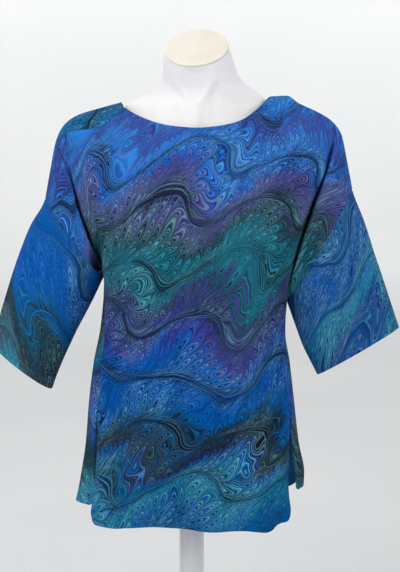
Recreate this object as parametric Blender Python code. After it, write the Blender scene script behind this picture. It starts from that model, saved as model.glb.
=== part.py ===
# A pull-on blouse with dropped shoulders and wide elbow-length sleeves,
# worn by a limbless dress form on a counter-top stand.
#
# The frame: metres, +Z up, the front of the blouse faces -Y, and the origin
# is the middle of the base, where it rests.  "Left" and "right" are as seen
# from the front.  The tables are in millimetres.
#
# Each cloth piece is a wall.  Its outer face is lofted through sections that
# the tables give by name, its inner face lies CLOTH deep inside it, and its
# rim closes the wall.  Neighbours share one seam line and stop SEAM_GAP apart.

import math

import bmesh
import bpy
import numpy as np
from mathutils import Matrix, Vector

MM = 0.001

# ---------------------------------------------------------------- cloth ----
CLOTH = 1.5 * MM            # wall of the cloth pieces
SEAM_GAP = 0.35 * MM        # between two pieces at a seam
ALONG = 12                  # faces along a sleeve
GROOVE_AT = 0.10            # place across a panel of the fold beside the arm
NECK_L, NECK_R = 0.335, 0.680       # places of the neckline's two ends
# Faces across a body panel, between these places.
PLACES = (0.0, GROOVE_AT, NECK_L, 0.5, NECK_R, 1 - GROOVE_AT, 1.0)
FACES = (4, 6, 4, 4, 5, 4)
GROOVE_ANGLE = 11.0         # the same place on a body ring, degrees
SOFTEN = 0.012              # how far a crease is rounded, across a panel

# Body, below the arms.  left/right: the widest points; z_*: the height of the
# section at the left, in the middle and at the right; seam_*: how far the side
# seam lies in front of the widest point, degrees; slit_*: how far the front
# panel stands back from the back panel's edge where the side is slit.
#        name         left  right  z_left  z_mid  z_right  front  back  square  seam_l  seam_r  slit_l  slit_r
BODY = [
    ("hem",          -188,   160,    318,   318,    318,   -112,   121,   2.30,    28,     26,     10,     -1),
    ("low_hip",      -174,   165,    388,   388,    388,   -113,   124,   2.35,    28,     26,      7,     12),
    ("hip",          -166,   156,    440,   440,    440,   -115,   122,   2.40,    28,     24,      4,      5),
    ("slit_top",     -161,   149,    500,   500,    500,   -117,   118,   2.40,    28,     20,      0,      0),
    ("waist",        -153,   142,    562,   560,    560,   -119,   112,   2.40,    27,     15,      0,      0),
    ("midriff",      -142,   135,    618,   614,    606,   -120,   110,   2.40,    20,      9,      0,      0),
    ("underarm",     -137,   137,    689,   668,    652,   -121,   110,   2.40,     0,      0,      0,      0),
]
SLIT_TOP = 500
# Faces up a body panel, from each section to the next one.
STEPS = (3, 2, 2, 2, 2, 3, 2, 2, 3, 3, 3)

# The hem: its height at the two slits and in the middle, and how far the
# corner beside each slit is rounded.
#        panel    z_left  z_mid  z_right  round_l  round_r
HEM = {
    "front": (       332,   331,     324,      18,      26),
    "back": (        354,   336,     369,      12,      14),
}

# Large soft folds, as troughs pressed into a panel from one point to another.
#        name              x_high  z_high  x_low  z_low  depth  width
FOLDS_FRONT = [
    ("right_drape",           104,    740,   112,   430,     5,    15),
    ("left_drape",           -112,    640,  -122,   420,     4,    12),
    ("underarm_left",        -128,    765,  -127,   705,     7,     7),
    ("hem_wave",              -14,    430,   -16,   322,     7,    15),
    ("hem_wave_right",         70,    400,    76,   322,     4,    16),
]
FOLDS_BACK = [
    ("back_left",             -72,    790,   -88,   380,     5,    16),
    ("back_middle",            12,    700,     4,   322,     5,    18),
    ("back_right",             84,    800,   100,   400,     6,    15),
]

# Body, between the arms.  mid: height in the middle; *_groove_*: the deep fold
# that runs from the shoulder to the underarm, on the front and on the back.
#        name       mid  front  back   lx    lz    ly   lyb    rx    rz    ry   ryb  square
CHEST = [
    ("bust_low",    715,  -123,  112, -142,  709,  -10,   14,  141,  683,   -6,   12,  2.35),
    ("bust",        762,  -125,  115, -157,  750,  -18,   30,  155,  738,   -8,   26,  2.30),
    ("chest",       814,  -122,  115, -174,  804,  -30,   42,  174,  799,  -12,   36,  2.20),
    ("yoke",        868,  -100,  100, -186,  861,  -38,   40,  195,  860,  -18,   36,  2.00),
]
#            bust_low  bust  chest  yoke
CREST_L = (     5,      12,    12,    8)    # fullness between groove and arm
CREST_R = (     2,       8,    12,   15)

# Upper edges, from the left sleeve seam to the right one.  The left shoulder
# seam lies a little in front of the shoulder, the right one on top of it.
#           place     x     y     z
FRONT_TOP = [
    (0.000, -224,    0,  807),      # sleeve seam
    (0.050, -216,   -2,  849),
    (0.085, -208,   -5,  884),
    (0.120, -194,  -15,  903),
    (0.170, -176,  -26,  909),
    (0.250, -143,  -34,  914),
    (NECK_L,-106,  -22,  943),      # left end of the neckline
    (0.367,  -86,  -40,  932),
    (0.400,  -63,  -53,  923),
    (0.450,  -37,  -64,  917),
    (0.500,    2,  -70,  914),      # middle of the neckline
    (0.550,   37,  -66,  917),
    (0.600,   63,  -56,  923),
    (0.645,   88,  -35,  938),
    (NECK_R, 109,   -5,  958),      # right end of the neckline
    (0.735,  136,   -1,  959),
    (0.775,  153,    0,  948),
    (0.830,  177,    0,  937),
    (0.880,  201,    0,  923),
    (0.915,  216,    0,  904),
    (0.950,  225,    0,  865),
    (1.000,  234,    0,  819),      # sleeve seam
]
BACK_NECK = [
    (NECK_L,-106,  -22,  943),
    (0.376, -111,   -4,  949),
    (0.418, -107,   26,  938),
    (0.459,  -62,   57,  938),
    (0.500,    0,   69,  936),
    (0.545,   48,   63,  938),
    (0.590,   80,   48,  941),
    (0.635,  101,   24,  947),
    (NECK_R, 109,   -5,  958),
]
# Top of the shoulders on the back panel, just behind its upper edge.
RIDGE = [
    (0.000, -222,    9,  808),
    (0.050, -215,    9,  852),
    (0.085, -208,    8,  891),
    (0.120, -195,    4,  916),
    (0.170, -175,    0,  930),
    (0.250, -140,    0,  941),
    (NECK_L,-110,    2,  949),
    (0.376, -112,   12,  946),
    (0.418, -109,   34,  933),
    (0.459,  -66,   66,  929),
    (0.500,    0,   78,  926),
    (0.545,   50,   72,  928),
    (0.590,   84,   57,  932),
    (0.635,  105,   33,  940),
    (NECK_R, 111,   10,  953),
    (0.735,  136,   12,  955),
    (0.775,  153,   13,  945),
    (0.830,  177,   13,  933),
    (0.880,  200,   13,  919),
    (0.915,  213,   13,  900),
    (0.950,  222,   13,  863),
    (1.000,  232,   11,  820),
]

# Sleeves.  out/in: the outer and the inner side; front/back: depth each way.
#             name        out_x  out_z   in_x  in_z  front  back  square
SLEEVE_L = [
    ("armhole",    -224,   807,  -137,   689,    52,    52,   2.0),
    ("upper",      -247,   766,  -153,   657,    50,    52,   2.1),
    ("elbow",      -271,   702,  -180,   605,    46,    48,   2.1),
    ("lower",      -289,   645,  -200,   563,    43,    44,   2.1),
    ("cuff",       -306,   589,  -217,   520,    41,    41,   2.1),
]
SLEEVE_R = [
    ("armhole",     234,   819,   137,   652,    42,    46,   2.0),
    ("upper",       253,   770,   148,   622,    38,    44,   2.1),
    ("elbow",       271,   715,   160,   588,    31,    36,   2.1),
    ("lower",       289,   662,   172,   563,    25,    28,   2.1),
    ("cuff",        306,   613,   184,   541,    21,    23,   2.1),
]

# The sleeve seam runs along the panels' ends, from this height to the top.
SEAM_FOOT = BODY[-1][4]
SEAM_HEAD = 932.0

# ------------------------------------------------------------ dress form ----
FORM_SIDES = 32
#        name        z     half   mid_x  front  back  square
FORM = [
    ("bottom",       412,   118,    -2,   -88,   84,   2.2),
    ("hip",          440,   128,    -2,   -96,   94,   2.2),
    ("high_hip",     500,   128,    -2,   -97,   95,   2.2),
    ("waist",        580,   112,    -2,   -84,   80,   2.2),
    ("rib",          650,   117,    -1,   -95,   86,   2.2),
    ("bust",         735,   128,     0,  -107,   94,   2.2),
    ("chest",        800,   140,     0,  -103,   98,   2.2),
    ("shoulder",     850,   156,     0,   -84,   88,   2.2),
    ("shoulder_top", 885,   164,     0,   -65,   74,   1.9),
    ("shoulder_cap", 904,   155,     0,   -59,   66,   1.7),
    ("slope",        918,   132,     2,   -56,   60,   1.6),
    ("slope_top",    931,   113,     1,   -53,   55,   1.55),
    ("neck_base",    946,   104,     3,   -50,   51,   1.55),
    ("neck_slope",   957,    90,    10,   -48,   49,   1.6),
    ("neck_low",     967,    74,    14,   -47,   48,   1.75),
    ("neck_rise",    978,    61,    11,   -46,   47,   1.90),
    ("neck",         992,    55,     7,   -45,   47,   2.00),
]
NECK_TOP = 1029         # height of the slanted cap's centre
NECK_TILT = 30.0        # the cap leans to the front, degrees
NECK_ROLL = -6.0        # and is a little higher at the right
CAP_HALF = 48           # cap, across
CAP_DEEP = 46           # cap, front to back, measured level
CAP_THICK = 3.0
POLE_X, POLE_RADIUS = -6, 18.5
COLLAR_RADIUS, COLLAR_HEIGHT = 34, 26
BASE_RADIUS, BASE_HEIGHT = 150, 8
BASE_EDGE = 3           # rounding of the base's top edge
FIT_GAP = 0.3           # between hard pieces that touch


# --------------------------------------------------------------- helpers ----
def column(table, index):
    return np.array([row[index] for row in table], float)


def smooth_slopes(t, p):
    """Slopes of a monotone cubic through p at the knots t (axis 0)."""
    h = np.diff(t)
    h = h.reshape((-1,) + (1,) * (p.ndim - 1))
    d = np.diff(p, axis=0) / h
    m = np.zeros_like(p)
    w1 = 2 * h[1:] + h[:-1]
    w2 = h[1:] + 2 * h[:-1]
    same = d[:-1] * d[1:] > 0
    safe0 = np.where(same, d[:-1], 1.0)
    safe1 = np.where(same, d[1:], 1.0)
    m[1:-1] = np.where(same, (w1 + w2) / (w1 / safe0 + w2 / safe1), 0.0)
    m[0], m[-1] = d[0], d[-1]
    return m


def smooth_path(t, p, at):
    """A monotone cubic through p at the knots t, read at the places `at`.

    Places may be one list, or one column of places for each column of p.
    """
    t = np.asarray(t, float)
    p = np.asarray(p, float)
    at = np.asarray(at, float)
    m = smooth_slopes(t, p)
    k = np.clip(np.searchsorted(t, at, side="right") - 1, 0, len(t) - 2)
    h = t[k + 1] - t[k]
    s = (at - t[k]) / h
    shape = at.shape + (1,) * (p.ndim - at.ndim)
    s, h = s.reshape(shape), h.reshape(shape)
    if at.ndim == 2:
        cols = np.arange(p.shape[1])[None, :]
        p0, p1, m0, m1 = p[k, cols], p[k + 1, cols], m[k, cols], m[k + 1, cols]
    else:
        p0, p1, m0, m1 = p[k], p[k + 1], m[k], m[k + 1]
    return ((1 + 2 * s) * (1 - s) ** 2 * p0 + s * (1 - s) ** 2 * h * m0
            + s * s * (3 - 2 * s) * p1 + s * s * (s - 1) * h * m1)


def spread(stops, counts):
    """Values from stop to stop, with counts[i] equal steps in each stretch."""
    return np.concatenate([np.linspace(a, b, n, endpoint=False)
                           for a, b, n in zip(stops[:-1], stops[1:], counts)] + [[stops[-1]]])


def table_path(table, at):
    """x, y, z of a table with the columns place, x, y, z."""
    return smooth_path(column(table, 0), np.array([row[1:4] for row in table], float), at)


def power(value, square):
    """A superellipse's coordinate from a cosine or a sine."""
    return np.sign(value) * np.abs(value) ** (2.0 / square)


def ring_angle(u, seam_l, seam_r):
    """Angle round the body for a place across a panel, seam to seam."""
    knots = [0.0, GROOVE_AT, 0.5, 1 - GROOVE_AT, 1.0]
    angle = [seam_l, max(seam_l, 0) + GROOVE_ANGLE, 90.0,
             180 - max(seam_r, 0) - GROOVE_ANGLE, 180 - seam_r]
    return np.radians(smooth_path(knots, angle, u))


def body_row(row, u, face, slit=True):
    """A section below the arms: face -1 is the front panel, +1 the back."""
    (_, left, right, z_left, z_mid, z_right, front, back, square,
     seam_l, seam_r, slit_l, slit_r) = row
    if face < 0:
        a = ring_angle(u, seam_l, seam_r)
    else:
        a = ring_angle(u, -seam_l, -seam_r)
    half, mid = (right - left) / 2, (right + left) / 2
    across = -power(np.cos(a), square)
    depth = power(np.sin(a), square)
    x = mid + half * across
    # ahead of the widest point the ring belongs to the front, behind to the back
    y = np.where(depth >= 0, depth * (front if face < 0 else back),
                 depth * (-front))
    z_side = np.where(across < 0, z_left, z_right)
    z = z_mid + (z_side - z_mid) * np.abs(across) ** 4
    if face < 0 and slit:
        x = x + slit_l * np.exp(-(u / 0.10) ** 2) - slit_r * np.exp(-((1 - u) / 0.10) ** 2)
    return np.stack([x, y, z], -1)


def side_seam(v, end):
    """The side seam, from the top of the slit up to the underarm."""
    at = np.array([float(end)])
    rows = np.array([body_row(r, at, -1, slit=False)[0] for r in BODY])
    return smooth_path(column(BODY, 4), rows, v)


def sleeve_ring(row, angle, face):
    """A point of a sleeve section: angle 0 is the inner side, pi the outer."""
    _, out_x, out_z, in_x, in_z, front, back, square = row
    f = (1 - power(np.cos(angle), square)) / 2
    s = power(np.sin(angle), square)
    x = in_x + (out_x - in_x) * f
    z = in_z + (out_z - in_z) * f
    y = s * (-front if face < 0 else back)
    return np.stack([x, y, z], -1)


def armhole_point(side, step, face):
    """Where section `step` (1 to 4) between the arms meets the sleeve seam."""
    ring = (SLEEVE_L if side < 0 else SLEEVE_R)[0]
    return sleeve_ring(ring, np.array(math.pi * step / (len(CHEST) + 1)), face)


def chest_row(k, u, face):
    """A section between the arms, from sleeve seam to sleeve seam."""
    (_, mid_z, front, back, lx, lz, ly, lyb, rx, rz, ry, ryb, square) = CHEST[k]
    deep = front if face < 0 else back
    arm_l, arm_r = armhole_point(-1, k + 1, face), armhole_point(1, k + 1, face)
    groove_l = np.array([lx, ly if face < 0 else lyb, lz], float)
    groove_r = np.array([rx, ry if face < 0 else ryb, rz], float)
    # fine samples, to be rounded below
    q = np.linspace(0, 1, 501)
    g = GROOVE_AT
    angle = np.pi * np.clip((q - g) / (1 - 2 * g), 0, 1)
    across = -power(np.cos(angle), square)
    depth = power(np.sin(angle), square)
    part = (across + 1) / 2
    x = groove_l[0] + (groove_r[0] - groove_l[0]) * part
    base = groove_l[1] + (groove_r[1] - groove_l[1]) * part
    y = base + (deep - base) * depth
    z_side = np.where(across < 0, lz, rz)
    z = mid_z + (z_side - mid_z) * np.abs(across) ** 3
    p = np.stack([x, y, z], -1)
    for at, arm, groove, crest in ((q / g, arm_l, groove_l, CREST_L[k]),
                                   ((1 - q) / g, arm_r, groove_r, CREST_R[k])):
        f = np.clip(at, 0, 1)[:, None]
        span = arm + (groove - arm) * f
        span[:, 1:2] += face * crest * (0.7 if face > 0 else 1.0) * np.sin(np.pi * f)
        p = np.where((at < 1)[:, None], span, p)
    # round the creases, holding the ends
    width = SOFTEN * (len(q) - 1)
    reach = int(4 * width)
    wide = np.concatenate([2 * p[0] - p[1:reach + 1][::-1], p, 2 * p[-1] - p[-reach - 1:-1][::-1]])
    kernel = np.exp(-0.5 * (np.arange(-reach, reach + 1) / width) ** 2)
    kernel /= kernel.sum()
    soft = np.stack([np.convolve(wide[:, c], kernel, mode="valid") for c in range(3)], -1)
    return np.stack([np.interp(np.asarray(u, float), q, soft[:, c]) for c in range(3)], -1)


def top_row(u, face):
    """The upper edge: shoulder seams, and the neckline between them, with a
    corner at each of its ends."""
    left = [row for row in FRONT_TOP if row[0] <= NECK_L]
    neck = [row for row in FRONT_TOP if NECK_L <= row[0] <= NECK_R] if face < 0 else BACK_NECK
    right = [row for row in FRONT_TOP if row[0] >= NECK_R]
    u = np.asarray(u, float)
    p = np.where((u <= NECK_L)[:, None], table_path(left, np.clip(u, 0, NECK_L)),
                 table_path(right, np.clip(u, NECK_R, 1)))
    inside = (u > NECK_L) & (u < NECK_R)
    return np.where(inside[:, None], table_path(neck, np.clip(u, NECK_L, NECK_R)), p)


def on_shoulder(u):
    """1 along the shoulder seams, 0 along the neckline, blended between."""
    left = np.clip((NECK_L - u) / 0.03, 0, 1)
    right = np.clip((u - NECK_R) / 0.03, 0, 1)
    w = left + right
    return w * w * (3 - 2 * w)


def panel_rows(u, face):
    """All sections of a body panel, with their heights, hem to upper edge."""
    rows = [body_row(r, u, face) for r in BODY]
    level = [r[4] for r in BODY]
    rows += [chest_row(k, u, face) for k in range(len(CHEST))]
    level += [r[1] for r in CHEST]
    if face > 0:
        rows.append(table_path(RIDGE, u))
        level.append(918)
    rows.append(top_row(u, face))
    level.append(932)
    return np.array(rows), np.array(level, float)


def folded(p, u, face):
    """Press the panel's large folds into it, towards the wearer."""
    edge = np.clip(np.minimum(u, 1 - u) / 0.06, 0, 1)
    edge = edge * edge * (3 - 2 * edge)
    for _, x_high, z_high, x_low, z_low, depth, width in (FOLDS_FRONT if face < 0 else FOLDS_BACK):
        dx, dz = x_low - x_high, z_low - z_high
        length = math.hypot(dx, dz)
        ex, ez = p[..., 0] - x_high, p[..., 2] - z_high
        along = (ex * dx + ez * dz) / length
        off = (ex * dz - ez * dx) / length
        beyond = np.maximum(np.maximum(-along, along - length), 0)
        fade = np.exp(-0.5 * (beyond / (2.2 * width)) ** 2) * edge
        trough = np.exp(-0.5 * (off / width) ** 2)
        swell = np.exp(-0.5 * (off / (2.2 * width)) ** 2)
        p[..., 1] -= face * depth * (trough - 0.45 * swell) * fade
    return p


def panel_sections(u, face):
    """A body panel's sections, and one more beyond its upper edge.

    Over the shoulders that one is the other panel's, so the cloth runs on
    smoothly; along the neckline it carries the panel straight on.
    """
    rows, level = panel_rows(u, face)
    other, _ = panel_rows(u, -face)
    beyond = other[-3] if face > 0 else other[-2]
    flat = 2 * rows[-1] - rows[-2]
    w = on_shoulder(u)[:, None]
    ghost = w * beyond + (1 - w) * flat
    return np.concatenate([rows, ghost[None]]), np.append(level, level[-1] + 22)


def panel_grid(u, v, face):
    """Outer face of a body panel at places u across and heights v."""
    if v.ndim == 1:
        v = np.repeat(v[:, None], len(u), axis=1)
    rows, level = panel_sections(u, face)
    p = folded(smooth_path(level, rows, v), u, face)
    # both panels meet along one side seam
    at = np.clip(v[:, 0], SLIT_TOP, SEAM_FOOT)
    for end in (0, 1):
        end_rows, _ = panel_sections(np.array([float(end)]), face)
        fix = side_seam(at, end) - smooth_path(level, end_rows[:, 0], at)
        fade = np.exp(-((u - end) / 0.08) ** 2)
        p = p + fix[:, None] * fade[None, :, None]
    return p * MM


def hem_height(u, face):
    """Height of the hem across a panel, with the corners rounded."""
    z_left, z_mid, z_right, round_l, round_r = HEM["front" if face < 0 else "back"]
    lowest = body_row(BODY[0], u, face)
    length = np.concatenate([[0], np.cumsum(np.linalg.norm(np.diff(lowest, axis=0), axis=1))])
    part = length / length[-1] * 2 - 1
    side = np.where(part < 0, z_left, z_right)
    z = z_mid + (side - z_mid) * np.abs(part) ** (3 if face < 0 else 2)
    for radius, d in ((round_l, length), (round_r, length[-1] - length)):
        z = z + radius - np.sqrt(np.maximum(radius ** 2 - np.maximum(radius - d, 0) ** 2, 0))
    return z


def panel_heights(u, v, face):
    """Heights v at each place u, with the lowest ones trimmed to the hem."""
    trim = (SLIT_TOP - hem_height(u, face)) / (SLIT_TOP - v[0])
    v = np.repeat(v[:, None], len(u), axis=1)
    return np.where(v < SLIT_TOP, SLIT_TOP - (SLIT_TOP - v) * trim, v)


def seam_angle(v):
    """Angle round the sleeve section for a height along the panels' end."""
    knots = [SEAM_FOOT] + [r[1] for r in CHEST] + [SEAM_HEAD]
    return smooth_path(knots, np.pi * np.arange(len(knots)) / (len(knots) - 1), v)


def sleeve_grid(side, v, along):
    """Outer face of a sleeve: round it (front up, back down) and along it."""
    table = SLEEVE_L if side < 0 else SLEEVE_R
    end = np.array([0.0 if side < 0 else 1.0])
    step = np.array([0.05 if side < 0 else 0.95])
    front, back = panel_grid(end, v, -1)[:, 0], panel_grid(end, v, 1)[:, 0]
    front_in, back_in = panel_grid(step, v, -1)[:, 0], panel_grid(step, v, 1)[:, 0]
    loop = np.concatenate([front, back[::-1][1:-1]])
    inner = np.concatenate([front_in, back_in[::-1][1:-1]])
    angle = seam_angle(v)
    rings = []
    for row in table[1:]:
        f = sleeve_ring(row, angle, -1)
        b = sleeve_ring(row, angle[::-1][1:-1], 1)
        rings.append(np.concatenate([f, b]) * MM)
    start = loop - inner
    reach = np.linalg.norm(start, axis=1, keepdims=True)
    ghost = loop - start / np.maximum(reach, 1e-6) * 0.030
    knots = np.array([-0.14] + [i / (len(table) - 1) for i in range(len(table))])
    return smooth_path(knots, np.concatenate([ghost[None], loop[None], np.array(rings)]), along)


# ------------------------------------------------------------- cloth wall ----
def grid_normals(p, closed=False):
    """Unit normals of a grid of points, first axis crossed with the second."""
    if closed:
        wide = np.concatenate([p[:, -1:], p, p[:, :1]], axis=1)
        b = (wide[:, 2:] - wide[:, :-2])
    else:
        b = np.gradient(p, axis=1)
    a = np.gradient(p, axis=0)
    n = np.cross(a, b)
    size = np.linalg.norm(n, axis=2, keepdims=True)
    return n / np.maximum(size, 1e-12)


def draw_in(p, edges, gap):
    """Move the named edges of a grid into the panel by gap."""
    q = p.copy()
    for edge in edges:
        at, nxt = {"low": ((0,), (1,)), "high": ((-1,), (-2,)),
                   "start": ((slice(None), 0), (slice(None), 1)),
                   "end": ((slice(None), -1), (slice(None), -2))}[edge]
        d = p[nxt] - p[at]
        size = np.maximum(np.linalg.norm(d, axis=-1, keepdims=True), 1e-9)
        q[at] = q[at] + d / size * gap
    return q


def make_object(name, vertices, faces, paint):
    mesh = bpy.data.meshes.new(name)
    mesh.from_pydata([tuple(v) for v in vertices], [], faces)
    bm = bmesh.new()
    bm.from_mesh(mesh)
    bmesh.ops.triangulate(bm, faces=bm.faces[:])
    bmesh.ops.recalc_face_normals(bm, faces=bm.faces[:])
    bm.to_mesh(mesh)
    bm.free()
    mesh.shade_smooth()
    mesh.set_sharp_from_angle(angle=math.radians(50))
    obj = bpy.data.objects.new(name, mesh)
    bpy.context.scene.collection.objects.link(obj)
    obj.data.materials.append(paint)
    return obj


def cloth_wall(name, outer, normals, paint, closed=False):
    """A closed wall: the outer grid, the same grid moved in, and its rims."""
    rows, cols = outer.shape[:2]
    inner = outer - normals * CLOTH
    vertices = np.concatenate([outer.reshape(-1, 3), inner.reshape(-1, 3)])
    base = rows * cols
    faces = []
    span = cols if closed else cols - 1
    for i in range(rows - 1):
        for j in range(span):
            k = (j + 1) % cols
            a, b, c, d = i * cols + j, i * cols + k, (i + 1) * cols + k, (i + 1) * cols + j
            faces.append((a, b, c, d))
            faces.append((base + d, base + c, base + b, base + a))
    for i in (0, rows - 1):
        for j in range(span):
            k = (j + 1) % cols
            a, b = i * cols + j, i * cols + k
            faces.append((a, base + a, base + b, b) if i == 0 else (b, base + b, base + a, a))
    if not closed:
        for j in (0, cols - 1):
            for i in range(rows - 1):
                a, b = i * cols + j, (i + 1) * cols + j
                faces.append((b, base + b, base + a, a) if j == 0 else (a, base + a, base + b, b))
    return make_object(name, vertices, faces, paint)


# -------------------------------------------------------------- materials ----
def paint(name, colour, roughness, metallic=0.0):
    material = bpy.data.materials.new(name)
    material.use_nodes = True
    shader = material.node_tree.nodes["Principled BSDF"]
    shader.inputs["Base Color"].default_value = (*colour, 1.0)
    shader.inputs["Roughness"].default_value = roughness
    shader.inputs["Metallic"].default_value = metallic
    material.diffuse_color = (*colour, 1.0)
    return material


# ---------------------------------------------------------- turned pieces ----
def superellipse(count, square):
    a = np.arange(count) * 2 * math.pi / count
    return power(np.cos(a), square), power(np.sin(a), square)


def ringed_solid(name, rings, material):
    """A closed body through rings of equal count, with flat ends."""
    count = len(rings[0])
    vertices = [tuple(p) for ring in rings for p in ring]
    faces = []
    for i in range(len(rings) - 1):
        for j in range(count):
            k = (j + 1) % count
            faces.append((i * count + j, i * count + k, (i + 1) * count + k, (i + 1) * count + j))
    low, high = len(vertices), len(vertices) + 1
    vertices.append(tuple(np.mean(rings[0], axis=0)))
    vertices.append(tuple(np.mean(rings[-1], axis=0)))
    top = (len(rings) - 1) * count
    for j in range(count):
        k = (j + 1) % count
        faces.append((low, k, j))
        faces.append((high, top + j, top + k))
    return make_object(name, vertices, faces, material)


def form_ring(z, half, mid_x, front, back, square, sides=FORM_SIDES):
    c, s = superellipse(sides, square)
    x = mid_x + half * c
    y = np.where(s < 0, s * -front, s * back)
    return np.stack([x, y, np.full(sides, float(z))], -1) * MM


def tilted(points, lift=0.0):
    """Turn level cap points onto the slanted plane of the neck's end."""
    turn = Matrix.Rotation(math.radians(NECK_ROLL), 4, "Y") @ Matrix.Rotation(math.radians(NECK_TILT), 4, "X")
    origin = Vector((1 * MM, 0, NECK_TOP * MM))
    return np.array([tuple(origin + turn @ Vector((p[0], p[1], p[2] + lift))) for p in points])


def disc(radius, z, x=0.0, y=0.0, sides=48):
    a = np.arange(sides) * 2 * math.pi / sides
    return np.stack([x + radius * np.cos(a), y + radius * np.sin(a), np.full(sides, float(z))], -1) * MM


def build_form(white, cream, grey):
    levels = column(FORM, 1)
    values = np.array([row[2:] for row in FORM], float)
    at = np.concatenate([np.linspace(levels[0], levels[-9], 18)[:-1], levels[-9:]])
    rings = []
    # the underside curves in to a flat
    for z, scale in ((levels[0] - 12, 0.55), (levels[0] - 9, 0.86)):
        half, mid_x, front, back, square = values[0]
        rings.append(form_ring(z, half * scale, mid_x, front * scale, back * scale, square))
    for z, (half, mid_x, front, back, square) in zip(at, smooth_path(levels, values, at)):
        rings.append(form_ring(z, half, mid_x, front, back, square))
    # the neck is cut on a slant: its last ring lies on the cap's plane
    c, s = superellipse(FORM_SIDES, 2.0)
    plane = math.cos(math.radians(NECK_TILT))
    end = np.stack([CAP_HALF * c, CAP_DEEP * s / plane, np.zeros(FORM_SIDES)], -1) * MM
    slanted = tilted(end, -(CAP_THICK / 2 + FIT_GAP) * MM)
    rings.append(rings[-1] * 0.5 + slanted * 0.5)
    rings.append(slanted)
    form = ringed_solid("form_torso", rings, white)
    edge = tilted(end * 0.985, CAP_THICK / 2 * MM)
    cap = ringed_solid("neck_cap", [tilted(end, -CAP_THICK / 2 * MM),
                                    tilted(end, (CAP_THICK / 2 - 0.8) * MM), edge], cream)
    bottom = levels[0] - 12
    pole = ringed_solid("pole", [disc(POLE_RADIUS, BASE_HEIGHT + FIT_GAP, POLE_X, 0, 32),
                                 disc(POLE_RADIUS, bottom - FIT_GAP, POLE_X, 0, 32)], grey)
    return form, cap, pole


def build_stand(grey):
    """A round base with a soft top edge, and a collar that holds the pole."""
    rings = [disc(BASE_RADIUS - 1, 0, POLE_X), disc(BASE_RADIUS, 1, POLE_X),
             disc(BASE_RADIUS, BASE_HEIGHT - BASE_EDGE, POLE_X)]
    for a in (30, 60, 90):
        a = math.radians(a)
        rings.append(disc(BASE_RADIUS - BASE_EDGE * (1 - math.cos(a)),
                          BASE_HEIGHT - BASE_EDGE * (1 - math.sin(a)), POLE_X))
    base = ringed_solid("base_plate", rings, grey)
    # the collar: a turned cup round the foot of the pole
    foot, top = BASE_HEIGHT + FIT_GAP, BASE_HEIGHT + COLLAR_HEIGHT
    bore = POLE_RADIUS + FIT_GAP
    profile = [(bore, top - 1), (bore + 1, top), (COLLAR_RADIUS * 0.66, top),
               (COLLAR_RADIUS * 0.74, top - 2), (COLLAR_RADIUS * 0.80, foot + 8),
               (COLLAR_RADIUS * 0.90, foot + 4), (COLLAR_RADIUS, foot + 2),
               (COLLAR_RADIUS, foot), (bore, foot)]
    sides = 48
    vertices, faces = [], []
    for r, z in profile:
        vertices += [tuple(p) for p in disc(r, z, POLE_X, 0, sides)]
    count = len(profile)
    for i in range(count):
        n = (i + 1) % count
        for j in range(sides):
            k = (j + 1) % sides
            faces.append((i * sides + j, i * sides + k, n * sides + k, n * sides + j))
    collar = make_object("base_collar", vertices, faces, grey)
    return base, collar


def build_cloth(paints):
    """The four cloth pieces, with one seam line between each two."""
    u = spread(PLACES, FACES)
    levels = [r[4] for r in BODY] + [r[1] for r in CHEST] + [SEAM_HEAD]
    v = spread(levels, STEPS)
    seam_v = v[v >= SEAM_FOOT - 1e-6]
    along = np.linspace(0, 1, ALONG + 1)

    front = panel_grid(u, panel_heights(u, v, -1), -1)
    back = panel_grid(u, panel_heights(u, v, 1), 1)
    sleeves = {side: sleeve_grid(side, seam_v, along) for side in (-1, 1)}

    n_front = -grid_normals(front)
    n_back = grid_normals(back)
    n_sleeve = {}
    for side in (-1, 1):
        n = grid_normals(sleeves[side], closed=True)
        centre = sleeves[side].mean(axis=1, keepdims=True)
        outward = np.sign(np.sum((sleeves[side] - centre) * n, axis=2).mean())
        n_sleeve[side] = n * outward
    if np.mean(n_front[:, :, 1]) > 0:
        n_front = -n_front
    if np.mean(n_back[:, :, 1]) < 0:
        n_back = -n_back

    # one normal along each seam, shared by its two or three pieces
    def unit(n):
        return n / np.maximum(np.linalg.norm(n, axis=-1, keepdims=True), 1e-12)

    foot = int(np.argmax(v >= SEAM_FOOT - 1e-6))
    slit = int(np.argmax(v >= SLIT_TOP - 1e-6))
    height = len(seam_v)
    for side, j in ((-1, 0), (1, -1)):
        shared = unit(n_front[slit:, j] + n_back[slit:, j])
        n_front[slit:foot, j] = n_back[slit:foot, j] = shared[:foot - slit]
        n_s = n_sleeve[side]
        f = unit(n_front[foot:, j] + n_s[0, :height])
        b_sleeve = np.concatenate([n_s[0, :1], n_s[0, height:][::-1], n_s[0, height - 1:height]])
        b = unit(n_back[foot:, j] + b_sleeve)
        ends = unit(f[[0, -1]] + b[[0, -1]])
        f[[0, -1]] = b[[0, -1]] = ends
        n_front[foot:, j], n_back[foot:, j] = f, b
        n_s[0, :height] = f
        n_s[0, height:] = b[1:-1][::-1]
    neck = (u > NECK_L + 1e-6) & (u < NECK_R - 1e-6)
    top = unit(n_front[-1] + n_back[-1])
    n_front[-1, ~neck] = n_back[-1, ~neck] = top[~neck]

    gap = SEAM_GAP / 2
    front = draw_in(front, ("start", "end", "high"), gap)
    back = draw_in(back, ("start", "end", "high"), gap)
    for side in (-1, 1):
        sleeves[side] = draw_in(sleeves[side], ("low",), gap)

    cloth_wall("front_panel", front, n_front, paints[0])
    cloth_wall("back_panel", back, n_back, paints[1])
    cloth_wall("sleeve_left", sleeves[-1], n_sleeve[-1], paints[2], closed=True)
    cloth_wall("sleeve_right", sleeves[1], n_sleeve[1], paints[3], closed=True)


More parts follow.
